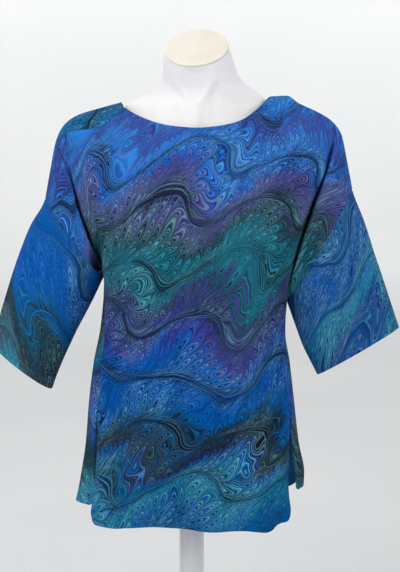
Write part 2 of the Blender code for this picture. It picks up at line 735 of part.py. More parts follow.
def main():
    for obj in list(bpy.data.objects):
        bpy.data.objects.remove(obj, do_unlink=True)
    for mesh in list(bpy.data.meshes):
        bpy.data.meshes.remove(mesh)
    cloth = [paint("marbled_cloth_" + n, (0.03, 0.10, 0.36), 0.75)
             for n in ("front", "back", "sleeve_left", "sleeve_right")]
    build_cloth(cloth)
    build_form(paint("form_white", (0.86, 0.86, 0.85), 0.45),
               paint("cap_cream", (0.85, 0.80, 0.70), 0.5),
               paint("pole_grey", (0.62, 0.62, 0.63), 0.35))
    build_stand(paint("stand_grey", (0.58, 0.58, 0.59), 0.35))


main()
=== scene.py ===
# A pull-on blouse in marbled cloth, on a dress form and stand: how it looks.
#
# Metres, +Z up, the front of the blouse faces -Y.  The first tables and
# functions are the ones that give the form of the plain model, so that the
# fine cloth lies on it; they are in millimetres.

import math

import bmesh
import bpy
import numpy as np
from mathutils import Matrix, Vector


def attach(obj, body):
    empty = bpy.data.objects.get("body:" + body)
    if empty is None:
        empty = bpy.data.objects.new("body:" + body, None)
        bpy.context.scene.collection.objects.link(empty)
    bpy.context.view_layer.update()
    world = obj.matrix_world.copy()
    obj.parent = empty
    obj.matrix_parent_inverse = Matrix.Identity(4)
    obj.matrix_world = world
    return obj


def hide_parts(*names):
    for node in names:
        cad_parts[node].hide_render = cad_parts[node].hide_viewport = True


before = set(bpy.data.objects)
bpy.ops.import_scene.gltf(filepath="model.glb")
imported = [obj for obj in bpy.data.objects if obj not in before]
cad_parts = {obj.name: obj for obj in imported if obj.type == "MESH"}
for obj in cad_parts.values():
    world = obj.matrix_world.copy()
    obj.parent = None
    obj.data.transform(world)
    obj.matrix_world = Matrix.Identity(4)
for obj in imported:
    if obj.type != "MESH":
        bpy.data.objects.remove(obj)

MM = 0.001

# ---------------------------------------------------------------- cloth ----
CLOTH = 1.5 * MM            # wall of the cloth pieces
SEAM_GAP = 0.35 * MM        # between two pieces at a seam
ALONG = 12                  # faces along a sleeve
GROOVE_AT = 0.10            # place across a panel of the fold beside the arm
NECK_L, NECK_R = 0.335, 0.680       # places of the neckline's two ends
# Faces across a body panel, between these places.
PLACES = (0.0, GROOVE_AT, NECK_L, 0.5, NECK_R, 1 - GROOVE_AT, 1.0)
FACES = (4, 6, 4, 4, 5, 4)
GROOVE_ANGLE = 11.0         # the same place on a body ring, degrees
SOFTEN = 0.012              # how far a crease is rounded, across a panel

# Body, below the arms.  left/right: the widest points; z_*: the height of the
# section at the left, in the middle and at the right; seam_*: how far the side
# seam lies in front of the widest point, degrees; slit_*: how far the front
# panel stands back from the back panel's edge where the side is slit.
#        name         left  right  z_left  z_mid  z_right  front  back  square  seam_l  seam_r  slit_l  slit_r
BODY = [
    ("hem",          -188,   160,    318,   318,    318,   -112,   121,   2.30,    28,     26,     10,     -1),
    ("low_hip",      -174,   165,    388,   388,    388,   -113,   124,   2.35,    28,     26,      7,     12),
    ("hip",          -166,   156,    440,   440,    440,   -115,   122,   2.40,    28,     24,      4,      5),
    ("slit_top",     -161,   149,    500,   500,    500,   -117,   118,   2.40,    28,     20,      0,      0),
    ("waist",        -153,   142,    562,   560,    560,   -119,   112,   2.40,    27,     15,      0,      0),
    ("midriff",      -142,   135,    618,   614,    606,   -120,   110,   2.40,    20,      9,      0,      0),
    ("underarm",     -137,   137,    689,   668,    652,   -121,   110,   2.40,     0,      0,      0,      0),
]
SLIT_TOP = 500
# Faces up a body panel, from each section to the next one.
STEPS = (3, 2, 2, 2, 2, 3, 2, 2, 3, 3, 3)

# The hem: its height at the two slits and in the middle, and how far the
# corner beside each slit is rounded.
#        panel    z_left  z_mid  z_right  round_l  round_r
HEM = {
    "front": (       332,   331,     324,      18,      26),
    "back": (        354,   336,     369,      12,      14),
}

# Large soft folds, as troughs pressed into a panel from one point to another.
#        name              x_high  z_high  x_low  z_low  depth  width
FOLDS_FRONT = [
    ("right_drape",           104,    740,   112,   430,     5,    15),
    ("left_drape",           -112,    640,  -122,   420,     4,    12),
    ("underarm_left",        -128,    765,  -127,   705,     7,     7),
    ("hem_wave",              -14,    430,   -16,   322,     7,    15),
    ("hem_wave_right",         70,    400,    76,   322,     4,    16),
]
FOLDS_BACK = [
    ("back_left",             -72,    790,   -88,   380,     5,    16),
    ("back_middle",            12,    700,     4,   322,     5,    18),
    ("back_right",             84,    800,   100,   400,     6,    15),
]

# Body, between the arms.  mid: height in the middle; *_groove_*: the deep fold
# that runs from the shoulder to the underarm, on the front and on the back.
#        name       mid  front  back   lx    lz    ly   lyb    rx    rz    ry   ryb  square
CHEST = [
    ("bust_low",    715,  -123,  112, -142,  709,  -10,   14,  141,  683,   -6,   12,  2.35),
    ("bust",        762,  -125,  115, -157,  750,  -18,   30,  155,  738,   -8,   26,  2.30),
    ("chest",       814,  -122,  115, -174,  804,  -30,   42,  174,  799,  -12,   36,  2.20),
    ("yoke",        868,  -100,  100, -186,  861,  -38,   40,  195,  860,  -18,   36,  2.00),
]
#            bust_low  bust  chest  yoke
CREST_L = (     5,      12,    12,    8)    # fullness between groove and arm
CREST_R = (     2,       8,    12,   15)

# Upper edges, from the left sleeve seam to the right one.  The left shoulder
# seam lies a little in front of the shoulder, the right one on top of it.
#           place     x     y     z
FRONT_TOP = [
    (0.000, -224,    0,  807),      # sleeve seam
    (0.050, -216,   -2,  849),
    (0.085, -208,   -5,  884),
    (0.120, -194,  -15,  903),
    (0.170, -176,  -26,  909),
    (0.250, -143,  -34,  914),
    (NECK_L,-106,  -22,  943),      # left end of the neckline
    (0.367,  -86,  -40,  932),
    (0.400,  -63,  -53,  923),
    (0.450,  -37,  -64,  917),
    (0.500,    2,  -70,  914),      # middle of the neckline
    (0.550,   37,  -66,  917),
    (0.600,   63,  -56,  923),
    (0.645,   88,  -35,  938),
    (NECK_R, 109,   -5,  958),      # right end of the neckline
    (0.735,  136,   -1,  959),
    (0.775,  153,    0,  948),
    (0.830,  177,    0,  937),
    (0.880,  201,    0,  923),
    (0.915,  216,    0,  904),
    (0.950,  225,    0,  865),
    (1.000,  234,    0,  819),      # sleeve seam
]
BACK_NECK = [
    (NECK_L,-106,  -22,  943),
    (0.376, -111,   -4,  949),
    (0.418, -107,   26,  938),
    (0.459,  -62,   57,  938),
    (0.500,    0,   69,  936),
    (0.545,   48,   63,  938),
    (0.590,   80,   48,  941),
    (0.635,  101,   24,  947),
    (NECK_R, 109,   -5,  958),
]
# Top of the shoulders on the back panel, just behind its upper edge.
RIDGE = [
    (0.000, -222,    9,  808),
    (0.050, -215,    9,  852),
    (0.085, -208,    8,  891),
    (0.120, -195,    4,  916),
    (0.170, -175,    0,  930),
    (0.250, -140,    0,  941),
    (NECK_L,-110,    2,  949),
    (0.376, -112,   12,  946),
    (0.418, -109,   34,  933),
    (0.459,  -66,   66,  929),
    (0.500,    0,   78,  926),
    (0.545,   50,   72,  928),
    (0.590,   84,   57,  932),
    (0.635,  105,   33,  940),
    (NECK_R, 111,   10,  953),
    (0.735,  136,   12,  955),
    (0.775,  153,   13,  945),
    (0.830,  177,   13,  933),
    (0.880,  200,   13,  919),
    (0.915,  213,   13,  900),
    (0.950,  222,   13,  863),
    (1.000,  232,   11,  820),
]

# Sleeves.  out/in: the outer and the inner side; front/back: depth each way.
#             name        out_x  out_z   in_x  in_z  front  back  square
SLEEVE_L = [
    ("armhole",    -224,   807,  -137,   689,    52,    52,   2.0),
    ("upper",      -247,   766,  -153,   657,    50,    52,   2.1),
    ("elbow",      -271,   702,  -180,   605,    46,    48,   2.1),
    ("lower",      -289,   645,  -200,   563,    43,    44,   2.1),
    ("cuff",       -306,   589,  -217,   520,    41,    41,   2.1),
]
SLEEVE_R = [
    ("armhole",     234,   819,   137,   652,    42,    46,   2.0),
    ("upper",       253,   770,   148,   622,    38,    44,   2.1),
    ("elbow",       271,   715,   160,   588,    31,    36,   2.1),
    ("lower",       289,   662,   172,   563,    25,    28,   2.1),
    ("cuff",        306,   613,   184,   541,    21,    23,   2.1),
]

# The sleeve seam runs along the panels' ends, from this height to the top.
SEAM_FOOT = BODY[-1][4]
SEAM_HEAD = 932.0

# ------------------------------------------------------------ dress form ----
FORM_SIDES = 32
#        name        z     half   mid_x  front  back  square
FORM = [
    ("bottom",       412,   118,    -2,   -88,   84,   2.2),
    ("hip",          440,   128,    -2,   -96,   94,   2.2),
    ("high_hip",     500,   128,    -2,   -97,   95,   2.2),
    ("waist",        580,   112,    -2,   -84,   80,   2.2),
    ("rib",          650,   117,    -1,   -95,   86,   2.2),
    ("bust",         735,   128,     0,  -107,   94,   2.2),
    ("chest",        800,   140,     0,  -103,   98,   2.2),
    ("shoulder",     850,   156,     0,   -84,   88,   2.2),
    ("shoulder_top", 885,   164,     0,   -65,   74,   1.9),
    ("shoulder_cap", 904,   155,     0,   -59,   66,   1.7),
    ("slope",        918,   132,     2,   -56,   60,   1.6),
    ("slope_top",    931,   113,     1,   -53,   55,   1.55),
    ("neck_base",    946,   104,     3,   -50,   51,   1.55),
    ("neck_slope",   957,    90,    10,   -48,   49,   1.6),
    ("neck_low",     967,    74,    14,   -47,   48,   1.75),
    ("neck_rise",    978,    61,    11,   -46,   47,   1.90),
    ("neck",         992,    55,     7,   -45,   47,   2.00),
]
NECK_TOP = 1029         # height of the slanted cap's centre
NECK_TILT = 30.0        # the cap leans to the front, degrees
NECK_ROLL = -6.0        # and is a little higher at the right
CAP_HALF = 48           # cap, across
CAP_DEEP = 46           # cap, front to back, measured level
CAP_THICK = 3.0
POLE_X, POLE_RADIUS = -6, 18.5
COLLAR_RADIUS, COLLAR_HEIGHT = 34, 26
BASE_RADIUS, BASE_HEIGHT = 150, 8
BASE_EDGE = 3           # rounding of the base's top edge
FIT_GAP = 0.3           # between hard pieces that touch


def column(table, index):
    return np.array([row[index] for row in table], float)


def smooth_slopes(t, p):
    """Slopes of a monotone cubic through p at the knots t (axis 0)."""
    h = np.diff(t)
    h = h.reshape((-1,) + (1,) * (p.ndim - 1))
    d = np.diff(p, axis=0) / h
    m = np.zeros_like(p)
    w1 = 2 * h[1:] + h[:-1]
    w2 = h[1:] + 2 * h[:-1]
    same = d[:-1] * d[1:] > 0
    safe0 = np.where(same, d[:-1], 1.0)
    safe1 = np.where(same, d[1:], 1.0)
    m[1:-1] = np.where(same, (w1 + w2) / (w1 / safe0 + w2 / safe1), 0.0)
    m[0], m[-1] = d[0], d[-1]
    return m


def smooth_path(t, p, at):
    """A monotone cubic through p at the knots t, read at the places `at`.

    Places may be one list, or one column of places for each column of p.
    """
    t = np.asarray(t, float)
    p = np.asarray(p, float)
    at = np.asarray(at, float)
    m = smooth_slopes(t, p)
    k = np.clip(np.searchsorted(t, at, side="right") - 1, 0, len(t) - 2)
    h = t[k + 1] - t[k]
    s = (at - t[k]) / h
    shape = at.shape + (1,) * (p.ndim - at.ndim)
    s, h = s.reshape(shape), h.reshape(shape)
    if at.ndim == 2:
        cols = np.arange(p.shape[1])[None, :]
        p0, p1, m0, m1 = p[k, cols], p[k + 1, cols], m[k, cols], m[k + 1, cols]
    else:
        p0, p1, m0, m1 = p[k], p[k + 1], m[k], m[k + 1]
    return ((1 + 2 * s) * (1 - s) ** 2 * p0 + s * (1 - s) ** 2 * h * m0
            + s * s * (3 - 2 * s) * p1 + s * s * (s - 1) * h * m1)


def spread(stops, counts):
    """Values from stop to stop, with counts[i] equal steps in each stretch."""
    return np.concatenate([np.linspace(a, b, n, endpoint=False)
                           for a, b, n in zip(stops[:-1], stops[1:], counts)] + [[stops[-1]]])


def table_path(table, at):
    """x, y, z of a table with the columns place, x, y, z."""
    return smooth_path(column(table, 0), np.array([row[1:4] for row in table], float), at)


def power(value, square):
    """A superellipse's coordinate from a cosine or a sine."""
    return np.sign(value) * np.abs(value) ** (2.0 / square)


def ring_angle(u, seam_l, seam_r):
    """Angle round the body for a place across a panel, seam to seam."""
    knots = [0.0, GROOVE_AT, 0.5, 1 - GROOVE_AT, 1.0]
    angle = [seam_l, max(seam_l, 0) + GROOVE_ANGLE, 90.0,
             180 - max(seam_r, 0) - GROOVE_ANGLE, 180 - seam_r]
    return np.radians(smooth_path(knots, angle, u))


def body_row(row, u, face, slit=True):
    """A section below the arms: face -1 is the front panel, +1 the back."""
    (_, left, right, z_left, z_mid, z_right, front, back, square,
     seam_l, seam_r, slit_l, slit_r) = row
    if face < 0:
        a = ring_angle(u, seam_l, seam_r)
    else:
        a = ring_angle(u, -seam_l, -seam_r)
    half, mid = (right - left) / 2, (right + left) / 2
    across = -power(np.cos(a), square)
    depth = power(np.sin(a), square)
    x = mid + half * across
    # ahead of the widest point the ring belongs to the front, behind to the back
    y = np.where(depth >= 0, depth * (front if face < 0 else back),
                 depth * (-front))
    z_side = np.where(across < 0, z_left, z_right)
    z = z_mid + (z_side - z_mid) * np.abs(across) ** 4
    if face < 0 and slit:
        x = x + slit_l * np.exp(-(u / 0.10) ** 2) - slit_r * np.exp(-((1 - u) / 0.10) ** 2)
    return np.stack([x, y, z], -1)


def side_seam(v, end):
    """The side seam, from the top of the slit up to the underarm."""
    at = np.array([float(end)])
    rows = np.array([body_row(r, at, -1, slit=False)[0] for r in BODY])
    return smooth_path(column(BODY, 4), rows, v)


def sleeve_ring(row, angle, face):
    """A point of a sleeve section: angle 0 is the inner side, pi the outer."""
    _, out_x, out_z, in_x, in_z, front, back, square = row
    f = (1 - power(np.cos(angle), square)) / 2
    s = power(np.sin(angle), square)
    x = in_x + (out_x - in_x) * f
    z = in_z + (out_z - in_z) * f
    y = s * (-front if face < 0 else back)
    return np.stack([x, y, z], -1)


def armhole_point(side, step, face):
    """Where section `step` (1 to 4) between the arms meets the sleeve seam."""
    ring = (SLEEVE_L if side < 0 else SLEEVE_R)[0]
    return sleeve_ring(ring, np.array(math.pi * step / (len(CHEST) + 1)), face)


def chest_row(k, u, face):
    """A section between the arms, from sleeve seam to sleeve seam."""
    (_, mid_z, front, back, lx, lz, ly, lyb, rx, rz, ry, ryb, square) = CHEST[k]
    deep = front if face < 0 else back
    arm_l, arm_r = armhole_point(-1, k + 1, face), armhole_point(1, k + 1, face)
    groove_l = np.array([lx, ly if face < 0 else lyb, lz], float)
    groove_r = np.array([rx, ry if face < 0 else ryb, rz], float)
    # fine samples, to be rounded below
    q = np.linspace(0, 1, 501)
    g = GROOVE_AT
    angle = np.pi * np.clip((q - g) / (1 - 2 * g), 0, 1)
    across = -power(np.cos(angle), square)
    depth = power(np.sin(angle), square)
    part = (across + 1) / 2
    x = groove_l[0] + (groove_r[0] - groove_l[0]) * part
    base = groove_l[1] + (groove_r[1] - groove_l[1]) * part
    y = base + (deep - base) * depth
    z_side = np.where(across < 0, lz, rz)
    z = mid_z + (z_side - mid_z) * np.abs(across) ** 3
    p = np.stack([x, y, z], -1)
    for at, arm, groove, crest in ((q / g, arm_l, groove_l, CREST_L[k]),
                                   ((1 - q) / g, arm_r, groove_r, CREST_R[k])):
        f = np.clip(at, 0, 1)[:, None]
        span = arm + (groove - arm) * f
        span[:, 1:2] += face * crest * (0.7 if face > 0 else 1.0) * np.sin(np.pi * f)
        p = np.where((at < 1)[:, None], span, p)
    # round the creases, holding the ends
    width = SOFTEN * (len(q) - 1)
    reach = int(4 * width)
    wide = np.concatenate([2 * p[0] - p[1:reach + 1][::-1], p, 2 * p[-1] - p[-reach - 1:-1][::-1]])
    kernel = np.exp(-0.5 * (np.arange(-reach, reach + 1) / width) ** 2)
    kernel /= kernel.sum()
    soft = np.stack([np.convolve(wide[:, c], kernel, mode="valid") for c in range(3)], -1)
    return np.stack([np.interp(np.asarray(u, float), q, soft[:, c]) for c in range(3)], -1)


def top_row(u, face):
    """The upper edge: shoulder seams, and the neckline between them, with a
    corner at each of its ends."""
    left = [row for row in FRONT_TOP if row[0] <= NECK_L]
    neck = [row for row in FRONT_TOP if NECK_L <= row[0] <= NECK_R] if face < 0 else BACK_NECK
    right = [row for row in FRONT_TOP if row[0] >= NECK_R]
    u = np.asarray(u, float)
    p = np.where((u <= NECK_L)[:, None], table_path(left, np.clip(u, 0, NECK_L)),
                 table_path(right, np.clip(u, NECK_R, 1)))
    inside = (u > NECK_L) & (u < NECK_R)
    return np.where(inside[:, None], table_path(neck, np.clip(u, NECK_L, NECK_R)), p)


def on_shoulder(u):
    """1 along the shoulder seams, 0 along the neckline, blended between."""
    left = np.clip((NECK_L - u) / 0.03, 0, 1)
    right = np.clip((u - NECK_R) / 0.03, 0, 1)
    w = left + right
    return w * w * (3 - 2 * w)


def panel_rows(u, face):
    """All sections of a body panel, with their heights, hem to upper edge."""
    rows = [body_row(r, u, face) for r in BODY]
    level = [r[4] for r in BODY]
    rows += [chest_row(k, u, face) for k in range(len(CHEST))]
    level += [r[1] for r in CHEST]
    if face > 0:
        rows.append(table_path(RIDGE, u))
        level.append(918)
    rows.append(top_row(u, face))
    level.append(932)
    return np.array(rows), np.array(level, float)


def folded(p, u, face):
    """Press the panel's large folds into it, towards the wearer."""
    edge = np.clip(np.minimum(u, 1 - u) / 0.06, 0, 1)
    edge = edge * edge * (3 - 2 * edge)
    for _, x_high, z_high, x_low, z_low, depth, width in (FOLDS_FRONT if face < 0 else FOLDS_BACK):
        dx, dz = x_low - x_high, z_low - z_high
        length = math.hypot(dx, dz)
        ex, ez = p[..., 0] - x_high, p[..., 2] - z_high
        along = (ex * dx + ez * dz) / length
        off = (ex * dz - ez * dx) / length
        beyond = np.maximum(np.maximum(-along, along - length), 0)
        fade = np.exp(-0.5 * (beyond / (2.2 * width)) ** 2) * edge
        trough = np.exp(-0.5 * (off / width) ** 2)
        swell = np.exp(-0.5 * (off / (2.2 * width)) ** 2)
        p[..., 1] -= face * depth * (trough - 0.45 * swell) * fade
    return p


def panel_sections(u, face):
    """A body panel's sections, and one more beyond its upper edge.

    Over the shoulders that one is the other panel's, so the cloth runs on
    smoothly; along the neckline it carries the panel straight on.
    """
    rows, level = panel_rows(u, face)
    other, _ = panel_rows(u, -face)
    beyond = other[-3] if face > 0 else other[-2]
    flat = 2 * rows[-1] - rows[-2]
    w = on_shoulder(u)[:, None]
    ghost = w * beyond + (1 - w) * flat
    return np.concatenate([rows, ghost[None]]), np.append(level, level[-1] + 22)


def panel_grid(u, v, face):
    """Outer face of a body panel at places u across and heights v."""
    if v.ndim == 1:
        v = np.repeat(v[:, None], len(u), axis=1)
    rows, level = panel_sections(u, face)
    p = folded(smooth_path(level, rows, v), u, face)
    # both panels meet along one side seam
    at = np.clip(v[:, 0], SLIT_TOP, SEAM_FOOT)
    for end in (0, 1):
        end_rows, _ = panel_sections(np.array([float(end)]), face)
        fix = side_seam(at, end) - smooth_path(level, end_rows[:, 0], at)
        fade = np.exp(-((u - end) / 0.08) ** 2)
        p = p + fix[:, None] * fade[None, :, None]
    return p * MM


def hem_height(u, face):
    """Height of the hem across a panel, with the corners rounded."""
    z_left, z_mid, z_right, round_l, round_r = HEM["front" if face < 0 else "back"]
    lowest = body_row(BODY[0], u, face)
    length = np.concatenate([[0], np.cumsum(np.linalg.norm(np.diff(lowest, axis=0), axis=1))])
    part = length / length[-1] * 2 - 1
    side = np.where(part < 0, z_left, z_right)
    z = z_mid + (side - z_mid) * np.abs(part) ** (3 if face < 0 else 2)
    for radius, d in ((round_l, length), (round_r, length[-1] - length)):
        z = z + radius - np.sqrt(np.maximum(radius ** 2 - np.maximum(radius - d, 0) ** 2, 0))
    return z


def panel_heights(u, v, face):
    """Heights v at each place u, with the lowest ones trimmed to the hem."""
    trim = (SLIT_TOP - hem_height(u, face)) / (SLIT_TOP - v[0])
    v = np.repeat(v[:, None], len(u), axis=1)
    return np.where(v < SLIT_TOP, SLIT_TOP - (SLIT_TOP - v) * trim, v)


def seam_angle(v):
    """Angle round the sleeve section for a height along the panels' end."""
    knots = [SEAM_FOOT] + [r[1] for r in CHEST] + [SEAM_HEAD]
    return smooth_path(knots, np.pi * np.arange(len(knots)) / (len(knots) - 1), v)


def sleeve_grid(side, v, along):
    """Outer face of a sleeve: round it (front up, back down) and along it."""
    table = SLEEVE_L if side < 0 else SLEEVE_R
    end = np.array([0.0 if side < 0 else 1.0])
    step = np.array([0.05 if side < 0 else 0.95])
    front, back = panel_grid(end, v, -1)[:, 0], panel_grid(end, v, 1)[:, 0]
    front_in, back_in = panel_grid(step, v, -1)[:, 0], panel_grid(step, v, 1)[:, 0]
    loop = np.concatenate([front, back[::-1][1:-1]])
    inner = np.concatenate([front_in, back_in[::-1][1:-1]])
    angle = seam_angle(v)
    rings = []
    for row in table[1:]:
        f = sleeve_ring(row, angle, -1)
        b = sleeve_ring(row, angle[::-1][1:-1], 1)
        rings.append(np.concatenate([f, b]) * MM)
    start = loop - inner
    reach = np.linalg.norm(start, axis=1, keepdims=True)
    ghost = loop - start / np.maximum(reach, 1e-6) * 0.030
    knots = np.array([-0.14] + [i / (len(table) - 1) for i in range(len(table))])
    return smooth_path(knots, np.concatenate([ghost[None], loop[None], np.array(rings)]), along)


def grid_normals(p, closed=False):
    """Unit normals of a grid of points, first axis crossed with the second."""
    if closed:
        wide = np.concatenate([p[:, -1:], p, p[:, :1]], axis=1)
        b = (wide[:, 2:] - wide[:, :-2])
    else:
        b = np.gradient(p, axis=1)
    a = np.gradient(p, axis=0)
    n = np.cross(a, b)
    size = np.linalg.norm(n, axis=2, keepdims=True)
    return n / np.maximum(size, 1e-12)


def draw_in(p, edges, gap):
    """Move the named edges of a grid into the panel by gap."""
    q = p.copy()
    for edge in edges:
        at, nxt = {"low": ((0,), (1,)), "high": ((-1,), (-2,)),
                   "start": ((slice(None), 0), (slice(None), 1)),
                   "end": ((slice(None), -1), (slice(None), -2))}[edge]
        d = p[nxt] - p[at]
        size = np.maximum(np.linalg.norm(d, axis=-1, keepdims=True), 1e-9)
        q[at] = q[at] + d / size * gap
    return q


def superellipse(count, square):
    a = np.arange(count) * 2 * math.pi / count
    return power(np.cos(a), square), power(np.sin(a), square)


def form_ring(z, half, mid_x, front, back, square, sides=FORM_SIDES):
    c, s = superellipse(sides, square)
    x = mid_x + half * c
    y = np.where(s < 0, s * -front, s * back)
    return np.stack([x, y, np.full(sides, float(z))], -1) * MM


def tilted(points, lift=0.0):
    """Turn level cap points onto the slanted plane of the neck's end."""
    turn = Matrix.Rotation(math.radians(NECK_ROLL), 4, "Y") @ Matrix.Rotation(math.radians(NECK_TILT), 4, "X")
    origin = Vector((1 * MM, 0, NECK_TOP * MM))
    return np.array([tuple(origin + turn @ Vector((p[0], p[1], p[2] + lift))) for p in points])


def disc(radius, z, x=0.0, y=0.0, sides=48):
    a = np.arange(sides) * 2 * math.pi / sides
    return np.stack([x + radius * np.cos(a), y + radius * np.sin(a), np.full(sides, float(z))], -1) * MM


# ============================================================ fine cloth ====
THIN = 0.7 * MM             # the cloth, one layer
TURNED = 0.6 * MM           # what a turned hem adds inside
FINE = 6                    # finer than the plain walls, each way
EDGE_LINES = (0.35, 0.9, 1.8, 3.0, 5.0, 6.4, 7.4, 8.6, 9.6, 10.8, 11.8, 13.0, 16.0)
BAND = {"hem": 12.0, "slit": 9.5, "neck": 7.0, "cuff": 12.0}
STITCH_BACK = 1.3           # the stitch line, in from the band's inner edge

# Small soft creases, each a trough (or a ridge, where depth is below zero)
# from one point to another, as seen from the front.
#        name            x0    z0    x1    z1   depth  width
CREASES_FRONT = [
    ("chest_l1",       -150,  842,  -96,  770,   1.6,   9),
    ("chest_l2",       -138,  800, -104,  716,   1.3,   7),
    ("chest_l3",       -128,  742, -118,  650,   1.8,   6),
    ("bust_l",          -92,  742,  -70,  640,   0.9,  11),
    ("shoulder_r1",     128,  905,  112,  838,   1.2,   9),
    ("chest_r1",        146,  820,   98,  752,   1.7,   9),
    ("chest_r2",        132,  768,   96,  690,   1.4,   8),
    ("underarm_r1",     128,  716,  100,  650,   1.5,   6),
    ("underarm_r2",     130,  676,  118,  600,   1.2,   5),
    ("waist_r",          92,  640,   84,  500,   1.5,  10),
    ("waist_l",        -104,  600, -112,  470,   1.3,   9),
    ("mid_l",           -46,  690,  -52,  520,   0.8,  14),
    ("mid_r",            34,  640,   40,  470,   0.9,  13),
    ("hip_l",           -82,  520,  -92,  352,   1.5,  11),
    ("hip_m",            22,  500,   30,  350,   1.3,  12),
    ("hip_r",           112,  520,  118,  360,   1.8,   8),
    ("hem_l1",         -128,  420, -134,  330,   2.2,   8),
    ("hem_l2",          -64,  400,  -70,  326,   2.4,  10),
    ("hem_r1",           44,  380,   48,  324,   1.8,   9),
    ("hem_r2",          104,  392,  110,  330,   2.0,   8),
    ("neck_l",          -60,  905,  -44,  872,  -0.7,   9),
    ("neck_r",           66,  900,   60,  868,   0.8,   8),
]
CREASES_BACK = [
    ("yoke_l",         -110,  880,  -84,  770,   1.4,  10),
    ("yoke_r",          118,  886,   88,  780,   1.6,   9),
    ("blade_l",        -140,  800, -100,  700,   1.7,   8),
    ("blade_r",         142,  796,  104,  690,   1.5,   8),
    ("middle_1",        -18,  840,  -22,  690,   0.9,  13),
    ("middle_2",         38,  760,   30,  600,   1.0,  12),
    ("waist_l",         -96,  640, -104,  520,   1.5,   9),
    ("waist_r",         104,  650,  112,  510,   1.4,   9),
    ("hip_l1",         -124,  520, -134,  372,   1.9,   8),
    ("hip_l2",          -40,  520,  -46,  350,   1.5,  12),
    ("hip_r1",           56,  500,   62,  346,   1.6,  11),
    ("hip_r2",          132,  510,  140,  380,   1.8,   8),
    ("hem_l",           -84,  420,  -92,  340,   2.3,   9),
    ("hem_m",            12,  400,   10,  334,   2.0,  10),
    ("hem_r",           100,  410,  106,  350,   2.2,   9),
]
# Where the cloth closes on itself beside an arm, between two levels of the
# panel: the arm's side stands forward by lift and leans over to the body by
# lean, and the narrow fold between them goes in by depth.
#        place   low   high   lift   lean   depth  width
GAPS_FRONT = [
    (0.100,  688,   874,   9.0,   3.6,   8.0,   2.2),
    (0.900,  674,   910,  12.0,   3.6,  10.0,   2.6),
]
GAPS_BACK = [
    (0.100,  700,   880,   6.0,   1.5,   5.0,   3.6),
    (0.900,  690,   890,   6.0,   1.5,   5.0,   3.6),
]
# A short deep fold in front of the left underarm, open like a leaf.
#        x_high  z_high  x_low  z_low  depth  width  slant
DEEP_FRONT = [
    (-140,    775,   -143,    686,    30,    4.6,   9.0),
]
# How the hem swings: forward (or back, below zero) and down from its even line.
#             x   forward  down
HEM_FRONT = [
    (-160,      2,   3.0),
    (-146,      6,   3.0),
    (-120,      8,   2.6),
    (-103,      7,   0.2),
    (-85,       6,  -1.6),
    (-55,       5,  -4.0),
    (-36,       1,  -1.6),
    (-24,      -6,   1.6),
    (-8,       -9,   4.0),
    (8,        -6,   5.4),
    (27,        3,   4.4),
    (53,        7,   2.8),
    (70,        5,   4.2),
    (87,        3,   6.6),
    (104,       4,   8.0),
    (113,       0,   6.6),
    (122,      -7,   0.6),
    (131,      -2,  -2.6),
    (142,       6,  -1.0),
]
HEM_BACK = [
    (-182,      3,   0.0),
    (-164,      4,   5.0),
    (-150,      6,   8.0),
    (-112,     -4,  -2.0),
    (-70,       6,   2.6),
    (-30,      -3,  -2.4),
    (12,        5,   2.2),
    (52,       -4,  -2.0),
    (92,        5,   1.6),
    (128,      -3,  -5.0),
    (146,       2,  -8.0),
    (158,       5, -24.0),
]
# The back panel's edge lies tucked in behind the front's at the left slit.
TUCK_IN, TUCK_BACK = 11.0, 8.0
# Creases of a sleeve.  round: place round it, 0 at the inner side, 0.25 in
# front, 0.5 outside, 0.75 behind; down: from the armhole (0) to the cuff (1).
#        name         round0  down0  round1  down1  depth  width
CREASES_SLEEVE = {
    -1: [
        ("elbow_1",      0.06,  0.30,  0.22,  0.58,   1.6,   8),
        ("elbow_2",      0.10,  0.55,  0.26,  0.90,   1.4,   7),
        ("inner_1",      0.02,  0.12,  0.12,  0.34,   1.8,   6),
        ("front_1",      0.30,  0.16,  0.27,  0.52,   1.2,  10),
        ("front_2",      0.40,  0.40,  0.36,  0.95,   1.5,  10),
        ("outer_1",      0.47,  0.10,  0.45,  0.45,   0.9,  12),
        ("back_1",       0.66,  0.15,  0.70,  0.60,   1.6,   9),
        ("back_2",       0.80,  0.35,  0.76,  0.92,   1.8,   8),
        ("back_3",       0.92,  0.10,  0.86,  0.42,   1.7,   7),
    ],
    1: [
        ("elbow_1",      0.06,  0.26,  0.20,  0.60,   1.7,   8),
        ("elbow_2",      0.12,  0.60,  0.24,  0.94,   1.5,   7),
        ("inner_1",      0.03,  0.10,  0.10,  0.32,   1.7,   6),
        ("front_1",      0.33,  0.20,  0.28,  0.56,   1.4,   9),
        ("front_2",      0.42,  0.46,  0.38,  0.96,   1.3,  10),
        ("back_1",       0.62,  0.12,  0.68,  0.56,   1.5,   9),
        ("back_2",       0.78,  0.40,  0.74,  0.95,   1.9,   8),
        ("back_3",       0.90,  0.14,  0.84,  0.50,   1.6,   7),
    ],
}


# --------------------------------------------------------- smooth noise ----
_seeded = np.random.RandomState(11)
_PLACES = _seeded.permutation(4096)
_VALUES = _seeded.rand(4096)


def value_noise(x, y):
    """Smooth noise of the plane, 0 to 1, one value for each unit square."""
    xi, yi = np.floor(x).astype(int), np.floor(y).astype(int)
    fx, fy = x - xi, y - yi
    fx, fy = (f * f * f * (f * (f * 6 - 15) + 10) for f in (fx, fy))

    def corner(i, j):
        return _VALUES[_PLACES[(_PLACES[(xi + i) & 4095] + yi + j) & 4095]]

    low = corner(0, 0) * (1 - fx) + corner(1, 0) * fx
    high = corner(0, 1) * (1 - fx) + corner(1, 1) * fx
    return low * (1 - fy) + high * fy


